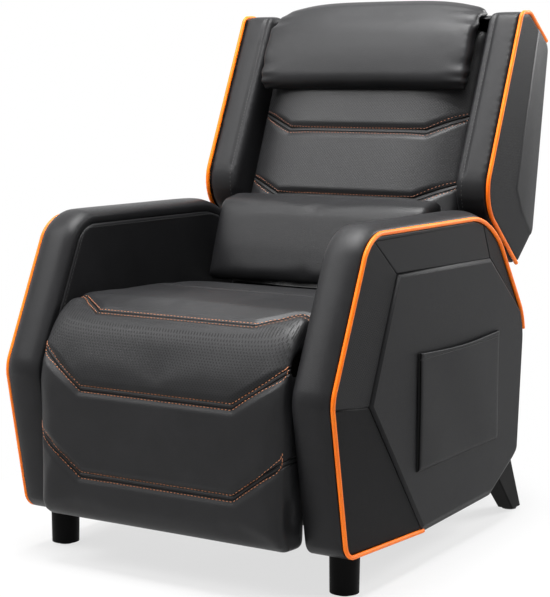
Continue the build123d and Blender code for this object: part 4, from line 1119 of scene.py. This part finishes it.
def makeHeadPillow():
    form, half = headForm, headForm["half"]
    body = outlineBlock("head_body", form["section"], form["radii"], -half, half, 4)
    hook = outlineBlock("head_hook", form["hook"], form["hookRadii"],
                        form["hookInset"] - half, half - form["hookInset"], 4)
    pillow = joined([body, hook], "head_pillow_cover")
    bevelEnds(pillow, half, form["bevel"], 2)

    def crowned(point, normal):  # the top is fuller in the middle
        (start, reach, most), (share, fall) = form["crown"], form["crownAcross"]
        up = (share - fall * (point.x / half) ** 4) * max(0.0, (point.z - start) / reach)
        return gathered(point, form) + Vector((0, 0, most * up))

    def held(point):
        return behind(point, form["rearLine"], form["heldMargin"]) and point.z < form["heldBelow"]

    def wrinkled(point, normal):  # wrinkles fan out of the side seams
        start, width, depth = form["wrinkle"]
        end = clamp((abs(point.x) - start) / width)
        up = (point.z - form["low"]) / form["height"]
        rate, bend, bendRate, acrossRate = form["fan"]
        fan = sin(rate * up + bend * sin(bendRate * up) + acrossRate * abs(point.x))
        return normal * (depth * fan * end ** 2)

    stuffed(pillow, form, held, crowned)
    refine(pillow)
    moveEach(pillow, wrinkled)
    return finished(pillow, pillowLeather)


backPad = makeBackPad()
rows = chevronLines(-stitch["apart"]) + chevronLines(stitch["apart"])
backThread = threadRow("back_pad_thread", backPad, rows, brownThread)
lumbarPillow = makeLumbarPillow()
headPillow = makeHeadPillow()
fit(backPad, "back_pad", "backrest")
fit(lumbarPillow, "lumbar_pillow", "backrest")
fit(headPillow, "head_pillow", "backrest")
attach(backThread, "backrest")
print("back pad and pillows are in place")


# wings and rear cover
wing = {
    "corners": [(0.331, 1.0259), (0.163, 0.649), (0.3361, 0.511),
                (0.4182, 0.5751), (0.48, 0.9618), (0.3748, 1.028)],
    "radii": [0.022, 0.08, 0.014, 0.026, 0.028, 0.03],
    "innerX": 0.253, "outerX": 0.332, "inset": 0.003, "innerGap": 0.001, "outerGap": 0.0094,
    "bevel": 0.012, "bevelReach": 0.0015,
    "bevelFrontOf": 0.39,  # the inner edge is rounded along the front and the top
    "bevelAbove": 0.95, "voxel": 0.0065, "pressure": 2.5, "cap": 0.006, "stiffness": 12.0,
    "smoothing": 3, "heldOuter": 0.0135, "heldInner": 0.003,
    "seam": [(0.271, 0.334, 1.024), (0.271, 0.195, 0.708), (0.271, 0.197, 0.652), (0.271, 0.235, 0.598)],
    "press": (0.0075, 0.0025),
}
wingPanel = {"inset": 0.0084, "leastRadius": 0.012}
wingPanels = [  # name, extent inward from the outer side, seam, turned edge, finish
    ("wing_side_front", (0.01, 0.004), [], [(0.003, 0.0012), (0.005, 0.0002)], perforatedSide),
    ("wing_side_rear", (0.009, 0.003), [(0.412, 0.979), (0.318, 0.67), (0.346, 0.622), (0.395, 0.578)],
     [(0.0035, 0.0014), (0.005, 0.0006)], smoothLeather),
]
rearForm = {
    "corners": [(0.352, 1.012), (0.34, 0.345), (0.352, 0.345),
                (0.414, 0.575), (0.474, 0.962), (0.378, 1.02)],
    "radii": [0.002, 0.002, 0.004, 0.05, 0.03, 0.012],
    "half": 0.253, "loopsX": (-0.249, -0.2, -0.1, 0, 0.1, 0.2, 0.249),
    "loopsZ": (0.45, 0.53, 0.65, 0.75, 0.85, 0.94), "thickness": 0.003,
}


def makeWing():
    cover = outlineBlock("wing_left_cover", insetOutline(wing["corners"], wing["inset"]), wing["radii"],
                         wing["innerX"] + wing["innerGap"], wing["outerX"] - wing["outerGap"], 6)

    def innerFront(a, b):
        middle = (a + b) / 2
        onFront = middle.y < wing["bevelFrontOf"] or middle.z > wing["bevelAbove"]
        return max(a.x, b.x) < wing["innerX"] + wing["bevelReach"] and onFront

    def held(point):
        return point.x > wing["outerX"] - wing["heldOuter"] or point.x < wing["innerX"] + wing["heldInner"]

    bevelEdges(cover, innerFront, wing["bevel"], 4)
    stuffed(cover, wing, held)
    refine(cover)
    pressLine(cover, wing["seam"], *wing["press"])
    return finished(cover, smoothLeather)


def makeWingPanel(name, inward, line, rings, finish):
    low, high = (wing["outerX"] - step for step in inward)
    panel = insetBlock(name, wing, wingPanel["inset"], wingPanel["leastRadius"], low, high, 6)
    planeCuts(panel, lineCuts(line), True)
    foldEdge(panel, 1, rings)
    return finished(panel, finish, angle=60)


def makeRearCover():
    cover = outlineBlock("rear_cover_shell", rearForm["corners"], rearForm["radii"],
                         -rearForm["half"], rearForm["half"], 4)
    selectFaces(cover, lambda normal: min(normal.y, normal.z) < -facing)
    bpy.ops.mesh.delete(type="FACE")
    editDone()
    addLoops(cover, 0, rearForm["loopsX"])
    addLoops(cover, 2, rearForm["loopsZ"])
    applied(cover, "SOLIDIFY", thickness=rearForm["thickness"], offset=-1.0)
    refine(cover)
    return finished(cover, smoothLeather, angle=50)


wingCover = makeWing()
wingThread = threadRow("wing_left_thread", wingCover, [wing["seam"]], greyThread)
wingSides = [makeWingPanel(*values) for values in wingPanels]
wingCover = joined([wingCover, *wingSides, wingThread], "wing_left_cover")
wingPiping = makePiping("wing_piping_left_cord", wing, wing["outerX"] - piping["inset"], 8, piping["wing"])
fitPair(wingCover, "wing", "backrest")
fitPair(wingPiping, "wing_piping", "backrest")
fit(makeRearCover(), "rear_cover", "backrest")
print("wings and rear cover are in place")


# finishes of the hard parts, by the starts of their names; the others are painted steel
hardFinishes = [
    (darkPlywood, ("arm_frame", "seat_frame", "back_frame", "leg_rest_board")),
    (blackPlastic, ("front_leg", "rear_leg")),
    (glidePlastic, ("leg_glides",)),
    (elastic, ("back_webbing",)),
    (brightSteel, ("frame_bolts", "recline_pivot_bolts", "seat_springs", "hinge_", "linkage_rivets")),
]
for name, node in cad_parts.items():
    found = [finish for finish, starts in hardFinishes if name.startswith(starts)]
    dress(node, found[0] if found else paintedSteel)

print("all pieces are finished")
